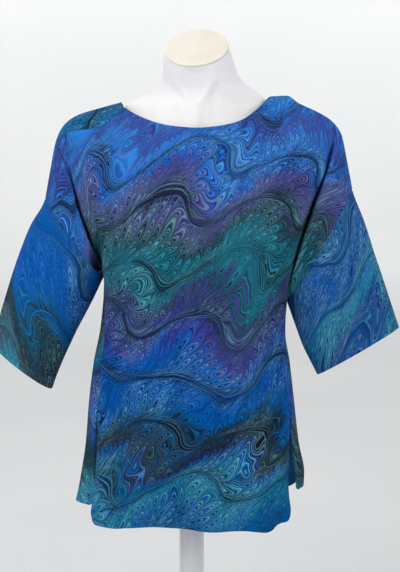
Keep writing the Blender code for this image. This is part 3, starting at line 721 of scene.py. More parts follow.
def cloudy(x, y, octaves=2):
    """Layered noise about zero, -1 to 1."""
    total, size, whole = 0.0, 1.0, 0.0
    for i in range(octaves):
        total = total + size * value_noise(x + 17.3 * i, y + 9.1 * i)
        whole += size
        size *= 0.5
        x, y = x * 2.03, y * 2.03
    return (total / whole - 0.5) * 2


def ease(low, high, x):
    t = np.clip((x - low) / (high - low), 0, 1)
    return t * t * (3 - 2 * t)


# ----------------------------------------------------------- fine grids ----
def with_lines(lines, extra, near):
    """Sorted lines, with extra ones put in and close old ones taken out."""
    lines, extra = np.asarray(lines, float), np.asarray(extra, float)
    ends = {lines[0], lines[-1]}
    keep = [a for a in lines if a in ends or np.abs(extra - a).min() > near]
    return np.array(sorted(set(keep) | set(extra)))


def lengths_along(p, axis):
    """Running length of a grid's lines from their first point."""
    step = np.linalg.norm(np.diff(p, axis=axis), axis=-1)
    total = np.cumsum(step, axis=axis)
    pad = [(0, 0), (0, 0)]
    pad[axis] = (1, 0)
    return np.pad(total, pad)


def creased(p, u, face):
    """Press the small creases into a panel."""
    edge = ease(0, 0.05, np.minimum(u, 1 - u))
    for _, x0, z0, x1, z1, depth, width in (CREASES_FRONT if face < 0 else CREASES_BACK):
        dx, dz = (x1 - x0) * MM, (z1 - z0) * MM
        length = math.hypot(dx, dz)
        ex, ez = p[..., 0] - x0 * MM, p[..., 2] - z0 * MM
        along = (ex * dx + ez * dz) / length
        off = (ex * dz - ez * dx) / length
        w = width * MM
        # a little bent, and thinner at its ends
        off = off + 0.35 * w * np.sin(along / length * 5 + depth * 3)
        part = along / length
        fade = ease(-0.10, 0.28, part) * (1 - ease(0.66, 1.10, part)) * edge
        trough = np.exp(-0.5 * (off / w) ** 2)
        swell = np.exp(-0.5 * ((off - 1.9 * w) / (1.4 * w)) ** 2)
        p[..., 1] -= face * depth * MM * (trough - 0.5 * swell) * fade
    # the slight unevenness of any hanging cloth
    ripple = cloudy(p[..., 0] * 26 + face * 7 + 40, p[..., 2] * 11 + 3) * 0.9 * MM
    p[..., 1] += ripple * edge
    return p


def arm_gaps(p, u, v, face):
    """Close the cloth on itself beside each arm."""
    for place, low, high, lift, lean, depth, width in (GAPS_FRONT if face < 0 else GAPS_BACK):
        side = -1 if place < 0.5 else 1
        d = (u - place) * side * 540            # towards the arm
        part = np.clip(d / 54, 0, 1)
        share = (ease(low, low + 24, v) * (1 - ease(high - 30, high, v)))[:, None]
        seam_y = p[:, :1, 1] if side < 0 else p[:, -1:, 1]
        target = seam_y + face * lift * MM * (1 - part)
        short = (target - p[..., 1]) * face
        forward = 0.5 * (short + np.sqrt(short ** 2 + (3 * MM) ** 2)) * (1 - part ** 4)
        wall = np.where(d > 0, 1 - np.exp(-(d / (1.3 * width)) ** 2), 0.0)
        p[..., 1] += face * forward * wall * share
        p[..., 0] -= side * lean * MM * wall * np.exp(-(d / 13) ** 2) * share
        p[..., 1] -= face * depth * MM * np.exp(-0.5 * (d / width) ** 2) * share
    return p


def deep_folds(p):
    """Press the short deep folds into the front."""
    for x0, z0, x1, z1, depth, width, slant in DEEP_FRONT:
        part = (z0 * MM - p[..., 2]) / ((z0 - z1) * MM)
        x = (x0 + (x1 - x0) * part) * MM
        opened = np.sin(np.pi * np.clip(part, 0, 1) ** 1.4)
        w = (1.2 + (np.where(p[..., 0] < x, slant, width) - 1.2) * opened) * MM
        front = p[..., 1] < -0.030
        p[..., 1] += np.where(front, depth * MM * ease(0, 0.8, opened) * np.exp(-np.abs((p[..., 0] - x) / w) ** 3), 0)
    return p


def tucked(p, u):
    """Tuck the back panel's left edge in behind the front's, below the slit's top."""
    share = (1 - ease(0, 0.06, u))[None, :] * (1 - ease(335 * MM, 455 * MM, p[..., 2]))
    p[..., 0] += TUCK_IN * MM * share
    p[..., 1] += TUCK_BACK * MM * share
    return p


def hem_swing(p, face):
    """Let the lowest part of a panel swing to and fro, most at its hem."""
    table = HEM_FRONT if face < 0 else HEM_BACK
    x = p[0, :, 0] / MM
    move = smooth_path(column(table, 0), np.array([row[1:] for row in table], float),
                       np.clip(x, table[0][0], table[-1][0])) * MM
    share = np.clip((425 * MM - p[..., 2]) / (95 * MM), 0, 1.3) ** 2
    p[..., 1] += face * move[:, 0] * share
    p[..., 2] -= move[:, 1] * share
    return p


def sleeve_creases(side, turn, down, reach):
    """Depth of a sleeve's creases, for places round it and down it."""
    h = np.zeros(np.broadcast(turn, down).shape)
    length, girth = 0.225, 0.30
    for _, r0, d0, r1, d1, depth, width in CREASES_SLEEVE[side]:
        ax, ay = (r1 - r0) * girth, (d1 - d0) * length
        size = math.hypot(ax, ay)
        ex, ey = (turn - r0) * girth, (down - d0) * length
        along = (ex * ax + ey * ay) / size
        off = (ex * ay - ey * ax) / size
        w = width * MM
        off = off + 0.3 * w * np.sin(along / size * 5 + depth * 4)
        part = along / size
        fade = ease(-0.15, 0.25, part) * (1 - ease(0.7, 1.15, part))
        h = h - depth * MM * (np.exp(-0.5 * (off / w) ** 2)
                              - 0.5 * np.exp(-0.5 * ((off - 1.9 * w) / (1.4 * w)) ** 2)) * fade
    a = turn * 2 * np.pi
    h = h + 0.8 * MM * cloudy(np.cos(a) * 1.7 + 5 * side + 20, np.sin(a) * 1.7 + down * 2.6 + 9)
    return h * ease(0, 0.10, down)


def band_height(d, width):
    """Outside of a turned hem, d from its edge: raised, stitched, rounded."""
    d = d / MM
    raised = 0.28 * (1 - ease(width - 0.8, width + 0.4, d))
    stitch = -0.30 * np.exp(-((d - (width - STITCH_BACK)) / 0.8) ** 2)
    edge = -0.34 * np.exp(-(d / 0.5) ** 2)
    return (raised + stitch + edge) * MM


def band_inside(d, width):
    """Inside of a turned hem: its second layer."""
    return TURNED * (1 - ease((width - 0.5) * MM, (width + 0.5) * MM, d))


# -------------------------------------------------------------- marbling ----
# The cloth is marbled: even stripes are combed into round-headed leaves, row
# below row, and waves roll over them, with a dark river between two rows.
# The waves are worked out here, for each point of the flat cloth; the comb and
# the colours are in the material.
#                     length  lean   height  drift  pitch
MARBLING = {
    "front_panel":  (0.158,  0.58,  0.023,  0.05,  0.082),
    "back_panel":   (0.166,  0.54,  0.023,  0.37,  0.086),
    "sleeve_left":  (0.150,  0.38,  0.019,  0.81,  0.092),
    "sleeve_right": (0.146,  0.56,  0.022,  1.02,  0.074),
}
# How far the leaves' heads lean along the upper river, and their tails sweep
# back along the lower one.
DRAG = {
    "front_panel": (0.026, 0.056), "back_panel": (0.028, 0.054),
    "sleeve_left": (0.024, 0.060), "sleeve_right": (0.036, 0.074),
}


def rolled(name, s, t):
    """Where a point of the cloth lies in its waves: the point before the wave,
    its place between the rivers, and the wave's slope."""
    length, lean, height, drift, pitch = MARBLING[name]
    s = s + drift
    s = s + 0.005 * cloudy(s * 30 + 3, t * 30 + 9)
    t = t + 0.005 * cloudy(s * 26 + 13, t * 30 + 1)
    k = 2 * np.pi / length
    turn = k * (s - lean * (t - 0.6) + 0.02 * np.sin(2 * np.pi * t / 0.27)) + 0.9 * np.sin(2 * np.pi * t / 0.34 + 0.6)
    rise = height + 0.007 * np.sin(2 * np.pi * t / 0.21 + 1.0) + 0.005 * np.sin(s * 13 + t * 9)
    n = t - rise * (np.sin(turn) + 0.18 * np.sin(2 * turn + 1.1)) - 0.011 * cloudy(s * 9 + 3, t * 9)
    slope = rise * k * (np.cos(turn) + 0.36 * np.cos(2 * turn + 1.1))
    q = (n + 0.012 * np.sin(2 * np.pi * s / 0.31 + t * 11) + 0.022) / pitch
    return s, n, q, slope


# -------------------------------------------------------------- new mesh ----
def quad_mesh(name, vertices, quads, uvs=None, corners=None, values=None):
    """A mesh of four-sided faces, with its flat coordinates."""
    mesh = bpy.data.meshes.new(name)
    quads = np.asarray(quads, np.int32)
    mesh.vertices.add(len(vertices))
    mesh.vertices.foreach_set("co", np.asarray(vertices, np.float32).ravel())
    mesh.loops.add(quads.size)
    mesh.loops.foreach_set("vertex_index", quads.ravel())
    mesh.polygons.add(len(quads))
    mesh.polygons.foreach_set("loop_start", np.arange(0, quads.size, quads.shape[1], dtype=np.int32))
    mesh.update(calc_edges=True)
    for key, grid in (uvs or {}).items():
        layer = mesh.uv_layers.new(name=key, do_init=False)
        layer.data.foreach_set("uv", grid[corners.ravel()].astype(np.float32).ravel())
    for key, data in (values or {}).items():
        mesh.attributes.new(key, "FLOAT", "POINT").data.foreach_set("value", data.astype(np.float32))
    mesh.validate()
    mesh.shade_smooth()
    mesh.set_sharp_from_angle(angle=math.radians(60))
    obj = bpy.data.objects.new(name, mesh)
    bpy.context.scene.collection.objects.link(obj)
    return obj


def cloth_shell(name, outer, inner, s, t, closed, flip):
    """A thin closed shell between two grids; s and t are the flat cloth's."""
    rows, cols = outer.shape[:2]
    wide = cols + 1 if closed else cols
    i, j = np.meshgrid(np.arange(rows - 1), np.arange(cols if closed else cols - 1), indexing="ij")
    k = (j + 1) % cols

    def quads(a, b, c, d):
        return np.stack([x.ravel() for x in (a, b, c, d)], -1)

    base = rows * cols
    face = quads(i * cols + j, i * cols + k, (i + 1) * cols + k, (i + 1) * cols + j)
    flat = quads(i * wide + j, i * wide + j + 1, (i + 1) * wide + j + 1, (i + 1) * wide + j)
    faces, corners = [face, base + face[:, ::-1]], [flat, flat[:, ::-1]]
    for row in (0, rows - 1):
        a, b = row * cols + j[0], row * cols + k[0]
        fa, fb = row * wide + j[0], row * wide + j[0] + 1
        f, g = quads(a, base + a, base + b, b), quads(fa, fa, fb, fb)
        if row:
            f, g = f[:, ::-1], g[:, ::-1]
        faces.append(f)
        corners.append(g)
    if not closed:
        for col in (0, cols - 1):
            a, b = i[:, 0] * cols + col, (i[:, 0] + 1) * cols + col
            f, g = quads(b, base + b, base + a, a), quads(b, b, a, a)
            if col:
                f, g = f[:, ::-1], g[:, ::-1]
            faces.append(f)
            corners.append(g)
    faces, corners = np.concatenate(faces), np.concatenate(corners)
    if flip:
        faces, corners = faces[:, ::-1], corners[:, ::-1]
    s_wave, n, q, slope = rolled(name, s, t)
    pair = {"cloth": np.stack([s, t], -1).reshape(-1, 2), "swirl": np.stack([s_wave, n], -1).reshape(-1, 2),
            "river": np.stack([q, slope], -1).reshape(-1, 2)}
    side = np.concatenate([np.zeros(base), np.ones(base)])
    return quad_mesh(name + "_cloth", np.concatenate([outer.reshape(-1, 3), inner.reshape(-1, 3)]),
                     faces, pair, corners, {"wrong_side": side})


def unit(n):
    return n / np.maximum(np.linalg.norm(n, axis=-1, keepdims=True), 1e-12)


def stitched_path(points, normals, pitch=3.1 * MM, long=2.1 * MM, thick=0.34 * MM):
    """Small thread stitches along a line on the cloth: vertices and faces."""
    step = np.linalg.norm(np.diff(points, axis=0), axis=1)
    run = np.concatenate([[0], np.cumsum(step)])
    if run[-1] < 2 * pitch:
        return np.zeros((0, 3)), np.zeros((0, 4), int)
    at = np.arange(pitch / 2, run[-1] - pitch / 2, pitch)
    middle = np.stack([np.interp(at, run, points[:, a]) for a in range(3)], -1)
    ahead = np.stack([np.interp(at + 0.8 * MM, run, points[:, a]) for a in range(3)], -1)
    up = unit(np.stack([np.interp(at, run, normals[:, a]) for a in range(3)], -1))
    along = unit(ahead - middle)
    across = unit(np.cross(up, along))
    up = np.cross(along, across)
    sides = 6
    profile = [(-0.5, 0.0, -0.7), (-0.42, 0.72, -0.15), (-0.15, 1.0, 0.25),
               (0.15, 1.0, 0.25), (0.42, 0.72, -0.15), (0.5, 0.0, -0.7)]
    shape = []
    for x, r, lift in profile:
        for b in range(sides):
            w = 2 * math.pi * b / sides
            shape.append((x * long, r * thick / 2 * math.cos(w) + 1e-6 * math.cos(w),
                          r * thick / 2 * math.sin(w) + lift * thick / 2 + 1e-6 * math.sin(w)))
    shape = np.array(shape)
    v = (middle[:, None] + shape[None, :, 0:1] * along[:, None] + shape[None, :, 1:2] * across[:, None]
         + shape[None, :, 2:3] * up[:, None])
    faces = []
    for a in range(len(profile) - 1):
        for b in range(sides):
            c = (b + 1) % sides
            faces.append((a * sides + b, a * sides + c, (a + 1) * sides + c, (a + 1) * sides + b))
    faces = np.array(faces)
    count = len(shape)
    every = faces[None] + (np.arange(len(at)) * count)[:, None, None]
    return v.reshape(-1, 3), every.reshape(-1, 4)


def stitches(name, paths):
    """All the stitches of one piece, as one mesh."""
    vertices, faces, base = [], [], 0
    for points, normals in paths:
        v, f = stitched_path(points, normals)
        vertices.append(v)
        faces.append(f + base)
        base += len(v)
    return quad_mesh(name, np.concatenate(vertices), np.concatenate(faces))


def at_distance(p, n, d, target):
    """Points of a grid's columns where the distance d reaches target."""
    cols = p.shape[1]
    found, up = [], []
    for j in range(cols):
        k = int(np.clip(np.searchsorted(d[:, j], target), 1, len(p) - 1))
        f = (target - d[k - 1, j]) / max(d[k, j] - d[k - 1, j], 1e-9)
        found.append(p[k - 1, j] * (1 - f) + p[k, j] * f)
        up.append(n[k, j])
    return np.array(found), np.array(up)


def build_fine_cloth():
    """The four cloth pieces and their stitches."""
    near = [d / 540 for d in EDGE_LINES]
    u = spread(PLACES, [f * FINE for f in FACES])
    u = with_lines(u, near + [1 - a for a in near], 0.0010)
    beside = [d / 540 for d in range(-12, 16)]
    u = with_lines(u, [g + d * side for g, side in ((GROOVE_AT, -1), (1 - GROOVE_AT, 1)) for d in beside], 0.0009)
    folded_in = [GROOVE_AT + d / 540 for d in range(19, 66, 2)]
    u = with_lines(u, folded_in, 0.0016)
    levels = [r[4] for r in BODY] + [r[1] for r in CHEST] + [SEAM_HEAD]
    v = spread(levels, [f * FINE for f in STEPS])
    low = [levels[0] + d for d in EDGE_LINES]
    high = [SEAM_HEAD - 0.95 * d for d in EDGE_LINES]
    foot_lines = [SEAM_FOOT + d for d in (0.6, 1.4, 2.6)]
    v = with_lines(v, low + high + foot_lines, 0.45)
    seam_v = v[v >= SEAM_FOOT - 1e-6]
    down = np.linspace(0, 1, ALONG * 10 + 1)
    sleeve_long = 235.0
    down = with_lines(down, [d / sleeve_long for d in (0.35, 0.9, 1.8, 3.0, 5.0)]
                      + [1 - d / sleeve_long for d in EDGE_LINES], 0.0018)

    p = {}
    for key, face in (("front", -1), ("back", 1)):
        grid = arm_gaps(panel_grid(u, panel_heights(u, v, face), face), u, v, face)
        grid = creased(grid, u, face)
        p[key] = hem_swing(tucked(grid, u) if face > 0 else grid, face)
    p["front"] = deep_folds(p["front"])
    sleeves = {side: sleeve_grid(side, seam_v, down) for side in (-1, 1)}

    n = {"front": -grid_normals(p["front"]), "back": grid_normals(p["back"])}
    flip = {"front": False, "back": True}
    if np.mean(n["front"][:, :, 1]) > 0:
        n["front"], flip["front"] = -n["front"], True
    if np.mean(n["back"][:, :, 1]) < 0:
        n["back"], flip["back"] = -n["back"], False
    n_sleeve, flip_sleeve = {}, {}
    for side in (-1, 1):
        m = grid_normals(sleeves[side], closed=True)
        centre = sleeves[side].mean(axis=1, keepdims=True)
        outward = np.sign(np.sum((sleeves[side] - centre) * m, axis=2).mean())
        turn = np.arange(sleeves[side].shape[1]) / sleeves[side].shape[1]
        h = sleeve_creases(side, turn[None, :], down[:, None], sleeve_long)
        sleeves[side] = sleeves[side] + m * outward * h[..., None]
        m = grid_normals(sleeves[side], closed=True)
        n_sleeve[side], flip_sleeve[side] = m * outward, outward > 0

    # one normal along each seam
    foot = int(np.argmax(v >= SEAM_FOOT - 1e-6))
    slit = int(np.argmax(v >= SLIT_TOP - 1e-6))
    height = len(seam_v)
    for side, j in ((-1, 0), (1, -1)):
        shared = unit(n["front"][slit:, j] + n["back"][slit:, j])
        n["front"][slit:foot, j] = n["back"][slit:foot, j] = shared[:foot - slit]
        n_s = n_sleeve[side]
        f = unit(n["front"][foot:, j] + n_s[0, :height])
        b_sleeve = np.concatenate([n_s[0, :1], n_s[0, height:][::-1], n_s[0, height - 1:height]])
        b = unit(n["back"][foot:, j] + b_sleeve)
        ends = unit(f[[0, -1]] + b[[0, -1]])
        f[[0, -1]] = b[[0, -1]] = ends
        n["front"][foot:, j], n["back"][foot:, j] = f, b
        n_s[0, :height] = f
        n_s[0, height:] = b[1:-1][::-1]
    neck = (u > NECK_L + 1e-6) & (u < NECK_R - 1e-6)
    top = unit(n["front"][-1] + n["back"][-1])
    n["front"][-1, ~neck] = n["back"][-1, ~neck] = top[~neck]

    made = {}
    for key, face in (("front", -1), ("back", 1)):
        grid, up = p[key], n[key]
        rise, across = lengths_along(grid, 0), lengths_along(grid, 1)
        d_hem, d_top = rise, rise[-1:] - rise
        d_start, d_end = across, across[:, -1:] - across
        middle = int(np.argmin(np.abs(u - 0.5)))
        s = across - across[:, middle:middle + 1]
        t = SLIT_TOP * MM + rise - rise[slit:slit + 1]
        # how much of each edge is open (a hem) or joined (a seam)
        open_side = 1 - ease((SLIT_TOP - 3) * MM, (SLIT_TOP + 3) * MM, np.repeat(v[:, None], len(u), 1) * MM)
        open_top = np.where(neck[None, :], 1.0, 0.0)
        out, deep = np.zeros(grid.shape[:2]), np.zeros(grid.shape[:2])
        for d, width, share in ((d_hem, BAND["hem"], np.ones_like(rise)),
                                (d_start, BAND["slit"], open_side), (d_end, BAND["slit"], open_side),
                                (d_top, BAND["neck"], open_top * np.ones_like(rise))):
            out = out + band_height(d, width) * share
            deep = np.maximum(deep, band_inside(d, width) * share)
        for d, share in ((d_start, 1 - open_side), (d_end, 1 - open_side),
                         (d_top, (1 - open_top) * np.ones_like(rise))):
            out = out - share * 0.75 * MM * np.exp(-(d / (1.5 * MM)) ** 2)
        # the stitching pulls the hem into faint puckers
        pucker = np.sin(s / 0.0046 + 2.5 * cloudy(s * 90, t * 0 + face * 3))
        out = out + 0.10 * MM * pucker * np.exp(-((d_hem / MM - BAND["hem"] + 2) / 5) ** 2)
        outer = draw_in(grid + up * out[..., None], ("start", "end", "high"), 0.04 * MM)
        inner = draw_in(grid - up * (THIN + deep - np.minimum(out, 0) * 0.6)[..., None],
                        ("start", "end", "high"), 0.04 * MM)
        name = key + "_panel"
        obj = cloth_shell(name, outer, inner, s, t, False, flip[key])
        # stitch lines: hem, both slits and the neckline
        paths = []
        line, lift = at_distance(outer, up, d_hem, (BAND["hem"] - STITCH_BACK) * MM)
        inset = 14
        paths.append((line[inset:-inset], lift[inset:-inset]))
        for d, flipped in ((d_start, False), (d_end, True)):
            grid_t = np.swapaxes(outer, 0, 1)
            up_t, d_t = np.swapaxes(up, 0, 1), d.T
            if flipped:
                grid_t, up_t, d_t = grid_t[::-1], up_t[::-1], d_t[::-1]
            line, lift = at_distance(grid_t, up_t, d_t, (BAND["slit"] - STITCH_BACK) * MM)
            first = int(np.argmax(v >= levels[0] + BAND["hem"]))
            paths.append((line[first:slit], lift[first:slit]))
        cols = np.where(neck)[0][1:-1]
        line, lift = at_distance(outer[::-1][:, cols], up[::-1][:, cols], d_top[::-1][:, cols],
                                 (BAND["neck"] - STITCH_BACK) * MM)
        paths.append((line, lift))
        made[name] = (obj, stitches(name + "_stitches", paths), (s, t))

    for side, name in ((-1, "sleeve_left"), (1, "sleeve_right")):
        grid, up = sleeves[side], n_sleeve[side]
        run = lengths_along(grid, 0)
        d_seam, d_cuff = run, run[-1:] - run
        out = band_height(d_cuff, BAND["cuff"]) - 0.75 * MM * np.exp(-(d_seam / (1.5 * MM)) ** 2)
        deep = band_inside(d_cuff, BAND["cuff"])
        around = np.concatenate([grid, grid[:, :1]], axis=1)
        s = lengths_along(around, 1)
        s = s - s[:, height - 1:height]
        t = -np.concatenate([run, run[:, :1]], axis=1)
        pucker = np.sin(s[:, :-1] / 0.0046 + 2.5 * cloudy(s[:, :-1] * 90, t[:, :-1] * 0 + side))
        out = out + 0.10 * MM * pucker * np.exp(-((d_cuff / MM - BAND["cuff"] + 2) / 5) ** 2)
        outer = draw_in(grid + up * out[..., None], ("low",), 0.04 * MM)
        inner = draw_in(grid - up * (THIN + deep - np.minimum(out, 0) * 0.6)[..., None],
                        ("low",), 0.04 * MM)
        obj = cloth_shell(name, outer, inner, s, t, True, flip_sleeve[side])
        line, lift = at_distance(outer[::-1], up[::-1], d_cuff[::-1], (BAND["cuff"] - STITCH_BACK) * MM)
        closed_line = np.concatenate([line, line[:1]])
        made[name] = (obj, stitches(name + "_stitches", [(closed_line, np.concatenate([lift, lift[:1]]))]), (s, t))
    return made


# ============================================================= materials ====
class Nodes:
    """Short names for the nodes of one material."""

    def __init__(self, name):
        self.material = bpy.data.materials.new(name)
        self.material.use_nodes = True
        self.tree = self.material.node_tree
        self.shader = self.tree.nodes["Principled BSDF"]

    def put(self, socket, value):
        if isinstance(value, bpy.types.NodeSocket):
            self.tree.links.new(value, socket)
        elif value is not None:
            socket.default_value = value

    def add(self, kind, **settings):
        node = self.tree.nodes.new(kind)
        for key, value in settings.items():
            setattr(node, key, value)
        return node

    def math(self, operation, a, b=None, c=None, clamp=False):
        node = self.add("ShaderNodeMath", operation=operation, use_clamp=clamp)
        for socket, value in zip(node.inputs, (a, b, c)):
            self.put(socket, value)
        return node.outputs[0]

    def plus(self, a, b):
        return self.math("ADD", a, b)

    def less(self, a, b):
        return self.math("SUBTRACT", a, b)

    def times(self, a, b):
        return self.math("MULTIPLY", a, b)

    def vector(self, x=0.0, y=0.0, z=0.0):
        node = self.add("ShaderNodeCombineXYZ")
        for socket, value in zip(node.inputs, (x, y, z)):
            self.put(socket, value)
        return node.outputs[0]

    def noise(self, vector, detail=1.0, roughness=0.5, scale=1.0, distortion=0.0):
        """Layered noise about a half, spread to about 0 to 1."""
        node = self.add("ShaderNodeTexNoise", noise_dimensions="3D")
        self.put(node.inputs["Vector"], vector)
        node.inputs["Scale"].default_value = scale
        node.inputs["Detail"].default_value = detail
        node.inputs["Roughness"].default_value = roughness
        node.inputs["Distortion"].default_value = distortion
        return self.math("MULTIPLY_ADD", node.outputs[0], 1.5, -0.25)

    def ease(self, low, high, value):
        """0 below low and 1 above high, smooth between; or the reverse."""
        node = self.add("ShaderNodeMapRange", interpolation_type="SMOOTHSTEP", clamp=True)
        self.put(node.inputs["Value"], value)
        if low < high:
            ends = (low, high, 0.0, 1.0)
        else:
            ends = (high, low, 1.0, 0.0)
        for key, number in zip(("From Min", "From Max", "To Min", "To Max"), ends):
            node.inputs[key].default_value = number
        return node.outputs["Result"]

    def ramp(self, value, stops, interpolation="LINEAR"):
        node = self.add("ShaderNodeValToRGB")
        ramp = node.color_ramp
        ramp.interpolation = interpolation
        while len(ramp.elements) > 1:
            ramp.elements.remove(ramp.elements[-1])
        ramp.elements[0].position, ramp.elements[0].color = stops[0][0], stops[0][1]
        for place, colour in stops[1:]:
            ramp.elements.new(place).color = colour
        self.put(node.inputs["Fac"], value)
        return node.outputs["Color"]

    def mix(self, share, a, b, blend="MIX"):
        node = self.add("ShaderNodeMix", data_type="RGBA", blend_type=blend, clamp_factor=True)
        self.put(node.inputs["Factor"], share)
        self.put(node.inputs["A"], a)
        self.put(node.inputs["B"], b)
        return node.outputs["Result"]

    def bump(self, height, distance, strength=1.0, normal=None):
        node = self.add("ShaderNodeBump")
        node.inputs["Strength"].default_value = strength
        node.inputs["Distance"].default_value = distance
        self.put(node.inputs["Height"], height)
        self.put(node.inputs["Normal"], normal)
        return node.outputs["Normal"]

    def uv(self, name):
        node = self.add("ShaderNodeUVMap", uv_map=name)
        parts = self.add("ShaderNodeSeparateXYZ")
        self.put(parts.inputs[0], node.outputs[0])
        return parts.outputs[0], parts.outputs[1]


def tint(code):
    """A colour as the eye names it, in linear light."""
    c = [int(code[i:i + 2], 16) / 255 for i in (0, 2, 4)]
    return tuple(x / 12.92 if x <= 0.04045 else ((x + 0.055) / 1.055) ** 2.4 for x in c) + (1.0,)


INK = {name: tint(code) for name, code in {
    "sky": "2a7ad2", "bright": "0054aa", "blue": "064a9a", "royal": "204eae", "indigo": "1e3484",
    "dusk": "43448a", "lilac": "5a5692", "violet": "3c3a88", "purple": "452c80", "plum": "2a2646",
    "ink": "171e2e", "navy": "123866", "smoke": "44586a", "slate": "264454", "pine": "174856",
    "teal": "2486a0", "sea": "025e96", "cyan": "8fd0d8", "outline": "09111c", "moss": "1e323c",
}.items()}

# The colour that each height of the flat cloth was given, before the comb.
ZONES = {
    "front_panel": [
        (0.300, "sea"), (0.325, "blue"), (0.348, "teal"), (0.372, "sea"), (0.390, "blue"),
        (0.404, "plum"), (0.422, "ink"), (0.436, "slate"), (0.450, "navy"), (0.464, "ink"),
        (0.482, "sea"), (0.505, "bright"), (0.560, "bright"), (0.582, "royal"), (0.596, "purple"),
        (0.610, "indigo"), (0.624, "dusk"), (0.638, "slate"), (0.654, "dusk"), (0.672, "pine"),
        (0.692, "teal"), (0.708, "pine"), (0.726, "teal"), (0.744, "pine"), (0.762, "slate"),
        (0.780, "smoke"), (0.798, "dusk"), (0.816, "lilac"), (0.838, "royal"), (0.880, "sky"),
        (0.930, "violet"), (0.955, "sky"),
    ],
    "back_panel": [
        (0.300, "blue"), (0.340, "sea"), (0.365, "teal"), (0.385, "pine"), (0.410, "ink"),
        (0.435, "pine"), (0.455, "navy"), (0.490, "bright"), (0.520, "royal"), (0.545, "purple"),
        (0.565, "indigo"), (0.590, "sea"), (0.615, "teal"), (0.640, "slate"), (0.665, "plum"),
        (0.690, "indigo"), (0.715, "dusk"), (0.745, "blue"), (0.775, "bright"), (0.800, "teal"),
        (0.820, "pine"), (0.845, "royal"), (0.870, "lilac"), (0.895, "sky"), (0.950, "sea"),
    ],
    "sleeve_left": [
        (-0.260, "teal"), (-0.235, "smoke"), (-0.205, "ink"), (-0.185, "slate"), (-0.165, "ink"),
        (-0.148, "pine"), (-0.130, "sea"), (-0.110, "bright"), (-0.060, "bright"), (-0.025, "bright"),
        (-0.008, "sea"), (0.012, "royal"),
    ],
    "sleeve_right": [
        (-0.260, "sea"), (-0.230, "teal"), (-0.200, "sea"), (-0.170, "blue"), (-0.150, "indigo"),
        (-0.130, "sea"), (-0.105, "teal"), (-0.080, "bright"), (-0.055, "blue"), (-0.035, "bright"),
        (-0.015, "blue"), (0.010, "sea"),
    ],
}
# How each piece took the comb: how plain it is (0 to 1), a seed, how dark its
# rivers are, and how many more of its leaves are pale.
CALM = {"front_panel": (0.0, 1.0, 1.0, 0.0), "back_panel": (0.0, 5.0, 1.0, 0.0),
        "sleeve_left": (0.30, 9.0, 0.7, 0.05), "sleeve_right": (0.08, 14.0, 0.40, 0.08)}
TOOTH = 0.0100              # from one tooth of the comb to the next


